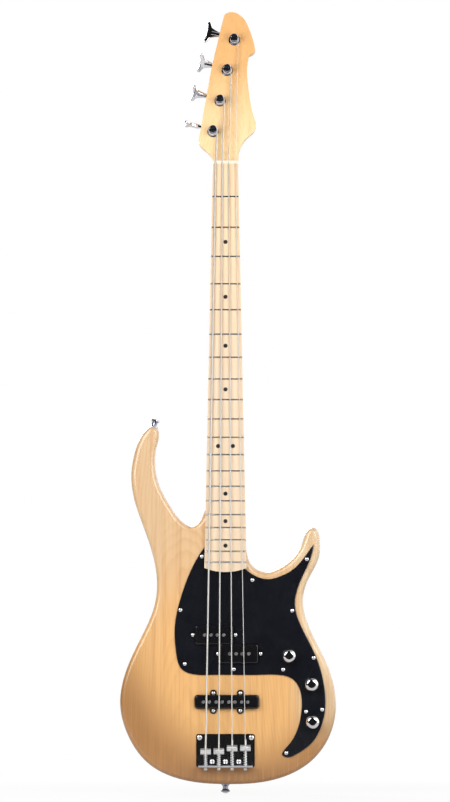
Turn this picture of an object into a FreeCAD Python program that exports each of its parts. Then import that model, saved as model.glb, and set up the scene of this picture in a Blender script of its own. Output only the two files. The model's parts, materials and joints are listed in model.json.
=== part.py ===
import FreeCAD, Part
import math
import os
import re
import Sketcher
from FreeCAD import Placement, Rotation, Vector

# Electric bass guitar in millimetres: +Z up the neck, -Y the front face, origin at the tail on mid thickness.
# "Level" below means a height towards the front, so a level of 5 lies at y = -5.

doc = FreeCAD.newDocument("electric_bass")
sheet = doc.addObject("Spreadsheet::Sheet", "Sizes")

sizes = {
    # Scale and strings
    "scale_length": 863.6,
    "tail_to_scale": 58,
    "saddle_string_pitch": 19.7,
    "nut_string_pitch": 9.8,
    "string_radius_e": 1.33,
    "string_radius_a": 1.08,
    "string_radius_d": 0.83,
    "string_radius_g": 0.57,
    "setback_e": 9.2,
    "setback_a": 8.8,
    "setback_d": 4.4,
    "setback_g": 4,
    "string_rise_saddle": 14.1,
    "string_rise_nut": 0.4,
    "string_bend_radius": 6,
    "ball_radius": 2.3,
    "ball_length": 4.6,
    # Body
    "body_thick": 44,
    "body_edge_round": 7,
    "bass_horn_x": -109,
    "bass_horn_z": 520.8,
    "bass_horn_round": 10.6,
    "treble_horn_x": 129.2,
    "treble_horn_z": 371.6,
    "treble_horn_round": 9.3,
    "pocket_side_z": 337,
    # Neck
    "nut_width": 37.5,
    "last_fret_width": 62.5,
    "fret_count": 20,
    "neck_depth_nut": 21,
    "neck_depth_heel": 23.5,
    "heel_thick": 25.4,
    "heel_length": 84,
    "heel_ramp": 34,
    "heel_end_bulge": 5,
    "heel_fit": 0.25,
    "throat_length": 30,
    "board_thick": 6,
    "board_radius": 254,
    "board_rise": 9.5,
    "board_past_fret": 8.5,
    "board_end_bulge": 6,
    "board_overhang": 6,
    "fret_height": 1,
    "fret_width": 2.6,
    "fret_tang": 0.6,
    "fret_tang_depth": 1.6,
    "fret_fit": 0.05,
    "fret_inset": 0.4,
    "marker_radius": 3.1,
    "marker_depth": 2,
    "marker_pair_spread": 11,
    "marker_fit": 0.03,
    "nut_thick": 5,
    "nut_top_rise": 1.1,
    "nut_slot_fit": 0.15,
    "rod_radius": 3,
    "rod_depth": 9.5,
    "rod_nut_radius": 4,
    "rod_nut_length": 16,
    "rod_fit": 0.2,
    "rod_end_gap": 14,
    # Headstock
    "head_tilt": 10,
    "head_thick": 15,
    "post_e_x": -18.6,
    "post_e_z": 43.6,
    "post_pitch": 47.5,
    "post_line_lean": 12.8,
    # Tuners
    "post_radius": 5,
    "post_fit": 0.06,
    "post_waist_radius": 4.6,
    "post_flare_radius": 6,
    "post_height": 22,
    "post_slot_width": 2.8,
    "post_slot_depth": 7,
    "post_hole_radius": 1.4,
    "pivot_radius": 3,
    "pivot_length": 2.4,
    "bushing_radius": 6.4,
    "bushing_flange_radius": 8.4,
    "bushing_flange_thick": 1.2,
    "bushing_crown_radius": 7,
    "bushing_crown_height": 3.4,
    "bushing_hole_fit": 0.15,
    "wheel_teeth": 16,
    "tooth_module": 0.6,
    "wheel_width": 4.4,
    "wheel_drop": 2.2,
    "worm_pitch_radius": 2,
    "worm_tip_radius": 2.5,
    "worm_core_radius": 1.3,
    "worm_half_length": 4.6,
    "tooth_tip_gap": 0.25,
    "shaft_radius": 2.5,
    "shaft_fit": 0.06,
    "shaft_far_end": 8.4,
    "shaft_tang_radius": 2,
    "shaft_tang_start": 26,
    "shaft_tang_end": 35,
    "housing_half_width": 10,
    "housing_top": 13,
    "housing_bottom": 9,
    "housing_corner": 6,
    "housing_depth": 12.4,
    "housing_round": 2.2,
    "collar_radius": 4.2,
    "collar_end": 15,
    "ear_radius": 3.6,
    "ear_thick": 3,
    "ear_drop": 12.4,
    "tuner_screw_radius": 1.2,
    "tuner_screw_length": 11,
    "paddle_start": 23,
    "paddle_end": 45,
    "paddle_half_width": 16,
    "paddle_stem_half_width": 3.3,
    "paddle_end_dish": 2.2,
    "paddle_thick": 5,
    "paddle_round": 1.5,
    "paddle_hub_radius": 3.6,
    "paddle_turn_e": 90,
    "paddle_turn_a": 58,
    "paddle_turn_d": 40,
    "paddle_turn_g": 0,
    "wrap_gap": 0.3,
    "wrap_spread": 0.6,
    "wrap_turns_e": 2.25,
    "wrap_turns_a": 2.5,
    "wrap_turns_d": 2.75,
    "wrap_turns_g": 3.25,
    "wrap_rise": 0.8,
    # Pickguard, screws and electronics
    "guard_thick": 2.4,
    "guard_bevel": 0.8,
    "guard_heel_gap": 0.4,
    "guard_screw_radius": 1.4,
    "guard_screw_length": 12,
    "screw_fit": 0.1,
    "knob_radius": 9.8,
    "knob_gap": 2.6,
    "knob_height": 14.5,
    "knob_round": 5,
    "knob_recess_radius": 6.8,
    "knob_recess_depth": 2.4,
    "knob_bore_depth": 8,
    "knob_fit": 0.03,
    "pot_radius": 8.25,
    "pot_depth": 10,
    "pot_bush_radius": 3.5,
    "pot_bush_rise": 4,
    "pot_shaft_radius": 3,
    "pot_shaft_fit": 0.06,
    "pot_nut_width": 10,
    "pot_nut_thick": 2,
    "pot_top_gap": 0.6,
    "knob_one_x": 94.6,
    "knob_one_z": 191,
    "knob_two_x": 128,
    "knob_two_z": 148.5,
    "knob_three_x": 129.3,
    "knob_three_z": 92.6,
    "cavity_radius": 12,
    "cavity_depth": 34,
    "channel_width": 12,
    "channel_depth": 16,
    # Pickups
    "split_bass_x": -16.8,
    "split_bass_z": 222,
    "split_treble_x": 20.4,
    "split_treble_z": 194,
    "split_length": 56,
    "split_width": 28,
    "split_corner": 3.5,
    "split_ear_reach": 31.5,
    "split_ear_radius": 5,
    "split_ear_thick": 2.6,
    "split_pole_pitch": 9.4,
    "cover_wall": 1.6,
    "cover_drop": 9,
    "cover_rise": 8.4,
    "cover_round": 1.8,
    "guard_cover_gap": 0.4,
    "bridge_pickup_x": 2,
    "bridge_pickup_z": 122.5,
    "bridge_pickup_length": 95,
    "bridge_pickup_width": 19.5,
    "bridge_pickup_corner": 5,
    "bridge_ear_reach": 20,
    "bridge_ear_radius": 4.4,
    "bridge_ear_out": 3.2,
    "bridge_pole_half_pitch": 4.4,
    "pole_radius": 2.4,
    "pole_rise": 0.6,
    "pole_fit": 0.08,
    "coil_gap": 1.2,
    "coil_top_gap": 0.6,
    "pickup_cavity_depth": 19,
    "pickup_cavity_gap": 0.8,
    "pickup_screw_radius": 1.4,
    "pickup_screw_grip": 9,
    # Bridge
    "bridge_width": 87,
    "bridge_back": 25.5,
    "bridge_length": 49.5,
    "bridge_thick": 2.5,
    "bridge_corner": 3,
    "flange_thick": 2.6,
    "flange_height": 16.5,
    "saddle_width": 15.4,
    "saddle_length": 9,
    "saddle_height": 9.6,
    "saddle_shoulder": 2.4,
    "saddle_groove": 0.8,
    "saddle_string_gap": 0.3,
    "grub_radius": 1.5,
    "grub_fit": 0.04,
    "grub_spread": 5.4,
    "grub_head_drop": 1.2,
    "grub_foot_gap": 0.2,
    "adjuster_radius": 1.5,
    "adjuster_drop": 7.4,
    "adjuster_fit": 0.06,
    "adjuster_hole_gap": 0.2,
    "adjuster_head_radius": 2.2,
    "adjuster_head_length": 2,
    "adjuster_reach": 8,
    "string_hole_drop": 2.6,
    "string_hole_gap": 0.5,
    "spring_radius": 2.25,
    "spring_wire_radius": 0.35,
    "spring_curls": 6,
    "spring_end_gap": 0.25,
    "bridge_screw_radius": 1.9,
    "bridge_screw_length": 24,
    "bridge_screw_front_x": 38.5,
    "bridge_screw_front_inset": 5.5,
    "bridge_screw_rear_inset": 8.2,
    # Strap buttons, neck plate and jack
    "strap_seat_radius": 6.5,
    "strap_waist_radius": 4.2,
    "strap_head_radius": 6.8,
    "strap_length": 12.5,
    "strap_hole_radius": 2.3,
    "strap_screw_radius": 2,
    "strap_screw_length": 38,
    "strap_spot_radius": 7.4,
    "strap_spot_depth": 1.6,
    "strap_tail_depth": 0.6,
    "strap_horn_angle": 76,
    "plate_width": 46,
    "plate_length": 62,
    "plate_thick": 2.5,
    "plate_corner": 6,
    "plate_z": 357,
    "plate_hole_x": 16,
    "plate_hole_z": 23,
    "neck_screw_radius": 2.1,
    "neck_screw_grip": 13,
    "neck_screw_hole_gap": 0.4,
    "jack_x": 156.4,
    "jack_z": 78,
    "jack_angle": -21,
    "jack_bore": 3.25,
    "jack_thread_radius": 4.75,
    "jack_case_radius": 7,
    "jack_depth": 23.6,
    "jack_case_drop": 2.2,
    "jack_nose": 3.8,
    "jack_nut_radius": 7,
    "jack_nut_thick": 2.2,
    "jack_hole_radius": 9,
    "jack_hole_depth": 34,
    "jack_plate_length": 42,
    "jack_plate_width": 24,
    "jack_plate_thick": 2,
    "jack_plate_seat": 6.2,
    "jack_plate_gap": 0.3,
    "jack_screw_spread": 15.5,
    "jack_screw_radius": 1.4,
    "jack_screw_length": 14,
}

# Plan outlines as seen from the front, each a row of (x, z) places
outlines = {
    "edge_outer": [(140.5, 352), (134.5, 326), (121, 300), (115.2, 268), (120, 245), (135, 210), (153, 173),
                   (163, 135), (164, 112), (153, 68), (126, 33), (72, 6.5), (0, 0), (-61.5, 6), (-115, 31),
                   (-146, 75), (-156.5, 117), (-150, 162), (-126, 217), (-105, 268), (-102, 306), (-109, 344),
                   (-121, 380), (-135, 421), (-140, 457), (-135, 492)],
    "edge_inner": [(-102.5, 500), (-104.3, 472), (-97, 440), (-83, 414), (-66, 391), (-51, 383), (-38, 391),
                   (-29, 409), (-13, 421), (8, 421), (23, 411), (28.5, 390), (30, 362), (32.5, 339), (42, 322),
                   (58, 315), (80, 321), (101, 337), (112, 353)],
    "guard_edge": [(-31, 352.7), (-47, 327), (-65, 282), (-75, 238), (-73.5, 196), (-64.5, 170.5), (-45, 163),
                   (-20, 162.6), (15, 162.6), (50, 162.6), (80, 162.4), (100, 156), (110.7, 139.5), (113.3, 117),
                   (108.8, 87.5), (94.8, 59.8), (85.8, 49), (84.2, 44), (88.6, 40.8), (107, 45.6), (126.6, 59.8), (141.6, 84),
                   (148.4, 115), (146.4, 148), (134.6, 190), (115.4, 229), (103.4, 268), (111, 301), (124.2, 330), (131, 356.5)],
    "guard_horn": [(131, 356.5), (120.4, 342), (102.4, 321.2), (80, 308.6), (62, 305), (46, 309), (30, 320)],
    "head_bass": [(-18.6, -3), (-20.5, 6), (-31, 17), (-39.4, 27), (-38.4, 40), (-33, 71), (-27, 104),
                  (-20.8, 140), (-13.4, 172), (-6, 204), (-1.5, 221)],
    "head_crown": [(-1.5, 221), (9.5, 225.3), (24.5, 218), (35.5, 199), (42.4, 177), (44.3, 167)],
    "head_notch": [(44.3, 167), (41, 162.6), (35.4, 160)],
    "head_treble": [(35.4, 160), (32.4, 145), (33.6, 114), (37.2, 88), (42.2, 66), (45.2, 54), (42, 44.5),
                    (34, 37), (24.5, 25), (19.4, 10), (18.6, -3)],
}
guard_screws = [(-35, 338.5), (-67, 259), (-60.5, 179), (12.4, 171), (85.6, 170.5), (131, 188), (99, 258),
                (120.8, 334.5), (40, 303.5), (143.6, 111), (119.6, 108), (90.3, 46.5)]
marker_frets = [3, 5, 7, 9, 12, 15, 17, 19]
outlines["guard_screw"] = guard_screws

row = 0


def store(alias, number):
    global row
    row += 1
    sheet.set(f"A{row}", alias)
    sheet.set(f"B{row}", str(number))
    sheet.setAlias(f"B{row}", alias)


for alias, number in sizes.items():
    store(alias, number)
for name, places in outlines.items():
    for index, (across, up) in enumerate(places):
        store(f"{name}_{index}_across", across)
        store(f"{name}_{index}_up", up)
doc.recompute()


class Size:
    def __getattr__(self, alias):
        return float(sheet.get(alias))


size = Size()


def places_of(name):
    count = len(outlines[name])
    return [(float(sheet.get(f"{name}_{i}_across")), float(sheet.get(f"{name}_{i}_up"))) for i in range(count)]


worked = doc.addObject("Spreadsheet::Sheet", "Worked")


def in_sizes(text):
    return re.sub(r"[a-z][a-z_0-9]*", r"Sizes.\g<0>", text)


def value(text):
    """Number that a sum of named sizes comes to."""
    worked.set("A1", "=" + in_sizes(text))
    worked.recompute()
    return float(worked.get("A1"))


def bind(thing, prop, text):
    thing.setExpression(prop, in_sizes(text))


nodes = {}


def keep(label, thing):
    thing.Label = label
    nodes[label] = thing
    return thing


def new_body(name):
    return doc.addObject("PartDesign::Body", name)


def new_sketch(body, role, name, level=None):
    sketch = body.newObject("Sketcher::SketchObject", name)
    plane = [part for part in body.Origin.OriginFeatures if part.Role == role][0]
    sketch.AttachmentSupport = [(plane, "")]
    sketch.MapMode = "FlatFace"
    if level:
        bind(sketch, "AttachmentOffset.Base.z", level)
    return sketch


def add_curves(sketch, curves):
    for curve in curves:
        sketch.addGeometry(curve, False)


def add_circles(sketch, centres, radius):
    first = None
    for across, up in centres:
        index = sketch.addGeometry(Part.Circle(Vector(across, up, 0), Vector(0, 0, 1), value(radius)), False)
        if first is None:
            first = index
            datum = sketch.addConstraint(Sketcher.Constraint("Radius", index, value(radius)))
            bind(sketch, f"Constraints[{datum}]", radius)
        else:
            sketch.addConstraint(Sketcher.Constraint("Equal", first, index))


def lines(points):
    corners = [Vector(a, b, 0) for a, b in points]
    return [Part.LineSegment(corners[i], corners[(i + 1) % len(corners)]) for i in range(len(corners))]


def rounded(left, bottom, right, top, radius):
    low, high = bottom + radius, top - radius
    near, far = left + radius, right - radius
    curves = []
    for across, up, start in ((far, high, 0), (near, high, 90), (near, low, 180), (far, low, 270)):
        circle = Part.Circle(Vector(across, up, 0), Vector(0, 0, 1), radius)
        curves.append(Part.ArcOfCircle(circle, math.radians(start), math.radians(start + 90)))
    if far - near > 1e-6:
        curves.append(Part.LineSegment(Vector(far, top, 0), Vector(near, top, 0)))
        curves.append(Part.LineSegment(Vector(near, bottom, 0), Vector(far, bottom, 0)))
    if high - low > 1e-6:
        curves.append(Part.LineSegment(Vector(left, high, 0), Vector(left, low, 0)))
        curves.append(Part.LineSegment(Vector(right, low, 0), Vector(right, high, 0)))
    return curves


def spline(points):
    curve = Part.BSplineCurve()
    curve.interpolate(Points=[Vector(a, b, 0) for a, b in points])
    return curve


def spans_of(whole, spans):
    start, end = whole.FirstParameter, whole.LastParameter
    pieces = []
    for i in range(spans):
        piece = whole.copy()
        piece.segment(start + (end - start) * i / spans, start + (end - start) * (i + 1) / spans)
        pieces.append(piece)
    return pieces


def ring_spline(points, spans):
    whole = Part.BSplineCurve()
    whole.interpolate(Points=[Vector(a, b, 0) for a, b in points], PeriodicFlag=True)
    return spans_of(whole, spans)


def pad(body, sketch, length, reverse=False, middle=False):
    feature = body.newObject("PartDesign::Pad", sketch.Name + "_pad")
    feature.Profile = sketch
    bind(feature, "Length", length)
    feature.Reversed = reverse
    feature.Midplane = middle
    return feature


def pocket(body, sketch, length, reverse=False):
    feature = body.newObject("PartDesign::Pocket", sketch.Name + "_pocket")
    feature.Profile = sketch
    bind(feature, "Length", length)
    feature.Reversed = reverse
    return feature


def fillet(body, base, radius, choose):
    doc.recompute()
    names = [f"Edge{i + 1}" for i, edge in enumerate(base.Shape.Edges) if choose(edge)]
    feature = body.newObject("PartDesign::Fillet", base.Name + "_round")
    feature.Base = (base, names)
    bind(feature, "Radius", radius)
    return feature


def chamfer(body, base, width, choose):
    doc.recompute()
    names = [f"Edge{i + 1}" for i, edge in enumerate(base.Shape.Edges) if choose(edge)]
    feature = body.newObject("PartDesign::Chamfer", base.Name + "_bevel")
    feature.Base = (base, names)
    bind(feature, "Size", width)
    return feature


def turned(name, profile):
    """Body turned about its own Z axis from a closed row of (radius, station) expressions."""
    body = new_body(name)
    sketch = new_sketch(body, "XZ_Plane", name + "_profile")
    spots = [(value(radius), value(station)) for radius, station in profile]
    add_curves(sketch, lines(spots))
    count = len(spots)
    for i in range(count):
        sketch.addConstraint(Sketcher.Constraint("Coincident", i, 2, (i + 1) % count, 1))
    for i, (radius, station) in enumerate(profile):
        if spots[i][0] < 1e-9:
            sketch.addConstraint(Sketcher.Constraint("PointOnObject", i, 1, -2))
        else:
            datum = sketch.addConstraint(Sketcher.Constraint("DistanceX", -1, 1, i, 1, spots[i][0]))
            bind(sketch, f"Constraints[{datum}]", radius)
        if abs(spots[i][1]) < 1e-9:
            sketch.addConstraint(Sketcher.Constraint("PointOnObject", i, 1, -1))
        else:
            datum = sketch.addConstraint(Sketcher.Constraint("DistanceY", -1, 1, i, 1, spots[i][1]))
            bind(sketch, f"Constraints[{datum}]", station)
    turn = body.newObject("PartDesign::Revolution", name + "_turn")
    turn.Profile = sketch
    turn.ReferenceAxis = (sketch, ["V_Axis"])
    turn.Angle = 360
    return body


def cylinder(name, radius, length, place):
    thing = doc.addObject("Part::Cylinder", name)
    bind(thing, "Radius", radius)
    bind(thing, "Height", length)
    thing.Placement = place
    return thing


def cut(name, base, tools):
    tool = tools[0]
    if len(tools) > 1:
        tool = doc.addObject("Part::MultiFuse", name + "_tools")
        tool.Shapes = tools
    thing = doc.addObject("Part::Cut", name)
    thing.Base = base
    thing.Tool = tool
    return thing


def fused(name, pieces):
    thing = doc.addObject("Part::MultiFuse", name)
    thing.Shapes = pieces
    return thing


def placed(name, master, place):
    thing = doc.addObject("Part::Feature", name)
    doc.recompute()
    shape = master.Shape.copy()
    shape.Placement = place.multiply(shape.Placement)
    thing.Shape = shape
    return thing


def copies(name, master, spots):
    thing = doc.addObject("Part::Feature", name)
    doc.recompute()
    shapes = []
    for place in spots:
        shape = master.Shape.copy()
        shape.Placement = place.multiply(shape.Placement)
        shapes.append(shape)
    thing.Shape = Part.makeCompound(shapes)
    return thing


def group(name, things):
    thing = doc.addObject("Part::Compound", name)
    thing.Links = things
    return thing


def aim(spot, way):
    return Placement(spot, Rotation(Vector(0, 0, 1), way))


def front(across, up, level):
    return Vector(across, -level, up)


def wood_screw(name, radius, length, head=2.0):
    """Oval-headed screw on local Z, its seat at zero and its point down."""
    return turned(name, [
        ("0", f"-{length}"), (f"{radius} * 0.5", f"-{length} + {radius}"), (radius, f"-{length} + {radius} * 3"),
        (radius, "0"), (f"{radius} * {head}", "0"), (f"{radius} * {head}", f"{radius} * 0.3"),
        (f"{radius} * {head} * 0.6", f"{radius} * 0.9"), ("0", f"{radius} * 1.05")])


forward = Vector(0, -1, 0)
backward = Vector(0, 1, 0)
names = ["e", "a", "d", "g"]
face = size.body_thick / 2
nut_z = size.tail_to_scale + size.scale_length
board_top = face + size.board_rise
board_bottom = board_top - size.board_thick
heel_bottom = board_top - size.heel_thick


def fret_z(number):
    return nut_z - size.scale_length * (1 - 2 ** (-number / 12))


last_fret_z = fret_z(size.fret_count)
board_end = last_fret_z - size.board_past_fret
heel_end = board_end + size.board_overhang


def neck_half_width(up):
    share = (nut_z - up) / (nut_z - last_fret_z)
    return (size.nut_width + (size.last_fret_width - size.nut_width) * share) / 2


def heel_plan(grow, top):
    low = heel_end - grow
    wide_low = neck_half_width(heel_end) + grow
    wide_top = neck_half_width(top) + grow
    corner = [Vector(-wide_low, low, 0), Vector(wide_low, low, 0), Vector(wide_top, top, 0), Vector(-wide_top, top, 0)]
    middle = Vector(0, low - size.heel_end_bulge, 0)
    return [Part.Arc(corner[0], middle, corner[1])] + [
        Part.LineSegment(corner[i], corner[(i + 1) % 4]) for i in (1, 2, 3)]


def capsule(start, end, radius):
    along = (Vector(*end, 0) - Vector(*start, 0)).normalize()
    side = Vector(-along.y, along.x, 0) * radius
    first, last = Vector(*start, 0), Vector(*end, 0)
    return [Part.LineSegment(first + side, last + side),
            Part.Arc(last + side, last + along * radius, last - side),
            Part.LineSegment(last - side, first - side),
            Part.Arc(first - side, first - along * radius, first + side)]


def horn_tip(prefix, start, end):
    centre = (value(prefix + "_x"), value(prefix + "_z"))
    radius = value(prefix + "_round")
    angles = [math.radians(start + (end - start) * i / 4) for i in range(5)]
    return [(centre[0] + radius * math.cos(a), centre[1] + radius * math.sin(a)) for a in angles]


knob_spots = [(value(f"knob_{word}_x"), value(f"knob_{word}_z")) for word in ("one", "two", "three")]
split_spots = [(size.split_bass_x, size.split_bass_z), (size.split_treble_x, size.split_treble_z)]
split_ears = [(x + side * size.split_ear_reach, z) for x, z in split_spots for side in (-1, 1)]
bridge_spot = (size.bridge_pickup_x, size.bridge_pickup_z)
bridge_ears = [(bridge_spot[0] + a * size.bridge_ear_reach,
                bridge_spot[1] + b * (size.bridge_pickup_width / 2 + size.bridge_ear_out))
               for a in (-1, 1) for b in (-1, 1)]
plate_holes = [(a * size.plate_hole_x, size.plate_z + b * size.plate_hole_z) for a in (-1, 1) for b in (-1, 1)]
bridge_front = size.bridge_back + size.bridge_length
bridge_screw_spots = [(-size.bridge_screw_front_x, bridge_front - size.bridge_screw_front_inset),
                      (size.bridge_screw_front_x, bridge_front - size.bridge_screw_front_inset)]
bridge_screw_spots += [(i * size.saddle_string_pitch, size.bridge_back + size.bridge_screw_rear_inset)
                       for i in (-1, 0, 1)]

jack_out = Vector(math.cos(math.radians(size.jack_angle)), 0, math.sin(math.radians(size.jack_angle)))
jack_along = Vector(-jack_out.z, 0, jack_out.x)
jack_place = Placement(Vector(size.jack_x, 0, size.jack_z),
                       Rotation(jack_along, jack_out.cross(jack_along), jack_out, "ZXY"))
horn_way = Vector(math.cos(math.radians(size.strap_horn_angle)), 0, math.sin(math.radians(size.strap_horn_angle)))
horn_seat = Vector(size.bass_horn_x, 0, size.bass_horn_z) + horn_way * (size.bass_horn_round - size.strap_spot_depth)
strap_places = [aim(Vector(0, 0, size.strap_tail_depth), Vector(0, 0, -1)), aim(horn_seat, horn_way)]


def box_of(name, sides, place):
    thing = doc.addObject("Part::Box", name)
    for prop, text in zip(("Length", "Width", "Height"), sides):
        bind(thing, prop, text)
    thing.Placement = place
    return thing


def make_body():
    blank = new_body("body_blank")
    outline = new_sketch(blank, "XZ_Plane", "body_outline")
    points = places_of("edge_outer") + horn_tip("bass_horn", 146.5, -8)
    points += places_of("edge_inner") + horn_tip("treble_horn", 158, 8.7)
    add_curves(outline, ring_spline(points, 12))
    slab = pad(blank, outline, "body_thick", middle=True)
    fillet(blank, slab, "body_edge_round", lambda edge: edge.BoundBox.YLength < 1e-6)
    top = "body_thick / 2"

    above = heel_end + size.heel_length + size.heel_ramp
    side = new_sketch(blank, "XZ_Plane", "pocket_open_side", top)
    add_curves(side, lines([(0, size.pocket_side_z), (size.last_fret_width, size.pocket_side_z),
                            (size.last_fret_width, above), (0, above)]))
    pocket(blank, side, "heel_thick - board_rise")
    heel = new_sketch(blank, "XZ_Plane", "neck_pocket", top)
    add_curves(heel, heel_plan(size.heel_fit, above))
    pocket(blank, heel, "heel_thick - board_rise")

    gap = size.pickup_cavity_gap
    for i, (x, z) in enumerate(split_spots):
        half, tall = size.split_length / 2 + gap, size.split_width / 2 + gap
        rout = new_sketch(blank, "XZ_Plane", f"split_cavity_{i}", top)
        add_curves(rout, rounded(x - half, z - tall, x + half, z + tall, size.split_corner))
        pocket(blank, rout, "pickup_cavity_depth")
    ears = new_sketch(blank, "XZ_Plane", "split_ear_cavities", top)
    add_circles(ears, split_ears, "split_ear_radius + pickup_cavity_gap")
    pocket(blank, ears, "pickup_cavity_depth")
    x, z = bridge_spot
    half, tall = size.bridge_pickup_length / 2 + gap, size.bridge_pickup_width / 2 + gap
    rout = new_sketch(blank, "XZ_Plane", "bridge_pickup_cavity", top)
    add_curves(rout, rounded(x - half, z - tall, x + half, z + tall, size.bridge_pickup_corner))
    pocket(blank, rout, "pickup_cavity_depth")
    ears = new_sketch(blank, "XZ_Plane", "bridge_ear_cavities", top)
    add_circles(ears, bridge_ears, "bridge_ear_radius + pickup_cavity_gap")
    pocket(blank, ears, "pickup_cavity_depth")

    for i in (0, 1):
        rout = new_sketch(blank, "XZ_Plane", f"control_cavity_{i}", top)
        add_curves(rout, capsule(knob_spots[i], knob_spots[i + 1], size.cavity_radius))
        pocket(blank, rout, "cavity_depth")
    channel = new_sketch(blank, "XZ_Plane", "pickup_channel", top)
    add_curves(channel, capsule((split_spots[1][0] + size.split_length / 4, split_spots[1][1]), knob_spots[0],
                                size.channel_width / 2))
    pocket(blank, channel, "channel_depth")

    for name, spots, radius, depth in (
            ("guard_pilots", places_of("guard_screw"), "guard_screw_radius + screw_fit", "guard_screw_length"),
            ("bridge_pilots", bridge_screw_spots, "bridge_screw_radius + screw_fit", "bridge_screw_length")):
        holes = new_sketch(blank, "XZ_Plane", name, top)
        add_circles(holes, spots, radius)
        pocket(blank, holes, depth)
    holes = new_sketch(blank, "XZ_Plane", "pickup_pilots", top + " - pickup_cavity_depth")
    add_circles(holes, split_ears + bridge_ears, "pickup_screw_radius + screw_fit")
    pocket(blank, holes, "pickup_screw_grip + 1")
    holes = new_sketch(blank, "XZ_Plane", "neck_bolt_holes", top + " + board_rise - heel_thick")
    add_circles(holes, plate_holes, "neck_screw_radius + neck_screw_hole_gap")
    pocket(blank, holes, "body_thick + board_rise - heel_thick")

    inward = jack_out * -1
    tools = [
        cylinder("jack_hole", "jack_hole_radius", "jack_hole_depth + 12",
                 aim(jack_place.multVec(Vector(0, 0, 12)), inward)),
        box_of("jack_seat", ("jack_plate_length + 2 * jack_plate_gap", "jack_plate_width + 2 * jack_plate_gap",
                             "jack_plate_seat + 12"),
               jack_place.multiply(Placement(Vector(-size.jack_plate_length / 2 - size.jack_plate_gap,
                                                    -size.jack_plate_width / 2 - size.jack_plate_gap,
                                                    -size.jack_plate_seat), Rotation()))),
        cylinder("pickup_wire_hole", "channel_width / 3", "bridge_pickup_length * 0.8",
                 aim(front(bridge_spot[0] + size.bridge_pickup_length * 0.45, bridge_spot[1],
                           face - size.channel_depth), Vector(1, 0, 0.18)))]
    for i in (-1, 1):
        tools.append(cylinder(f"jack_pilot_{i + 2}", "jack_screw_radius + screw_fit", "jack_screw_length",
                              aim(jack_place.multVec(Vector(i * size.jack_screw_spread, 0, -size.jack_plate_seat)),
                                  inward)))
    for i, place in enumerate(strap_places):
        way = place.Rotation.multVec(Vector(0, 0, 1))
        tools.append(cylinder(f"strap_spot_{i}", "strap_spot_radius", "12", aim(place.Base, way)))
        tools.append(cylinder(f"strap_pilot_{i}", "strap_screw_radius + screw_fit",
                              "strap_screw_length - strap_length + 3", aim(place.Base, way * -1)))
    keep("body", cut("body", blank, tools))


def ease(share):
    return share * share * (3 - 2 * share)


def superellipse(half, depth, top, power):
    points = []
    for i in range(13):
        angle = math.pi * i / 12
        c, s = math.cos(angle), math.sin(angle)
        across = half * math.copysign(abs(c) ** (2 / power), c)
        points.append((across, -top + depth * abs(s) ** (2 / power)))
    return points


head_start = nut_z + size.nut_thick
tilt = math.radians(size.head_tilt)
head_place = Placement(Vector(0, -board_bottom, head_start), Rotation(Vector(1, 0, 0), -size.head_tilt))
lean = math.radians(size.post_line_lean)
posts = [(size.post_e_x + k * size.post_pitch * math.sin(lean), size.post_e_z + k * size.post_pitch * math.cos(lean))
         for k in range(4)]
tuner_places = [head_place.multiply(Placement(Vector(x, 0, z), Rotation(Vector(0, 1, 0), size.post_line_lean)))
                for x, z in posts]
ear_spots = [(x - size.ear_drop * math.sin(lean), z - size.ear_drop * math.cos(lean)) for x, z in posts]


def head_sketch(body, name, depth=0.0):
    sketch = new_sketch(body, "XZ_Plane", name)
    back = head_place.multVec(Vector(0, depth, 0))
    sketch.AttachmentOffset = Placement(Vector(0, back.z, -back.y), Rotation(Vector(1, 0, 0), -size.head_tilt))
    return sketch


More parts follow.
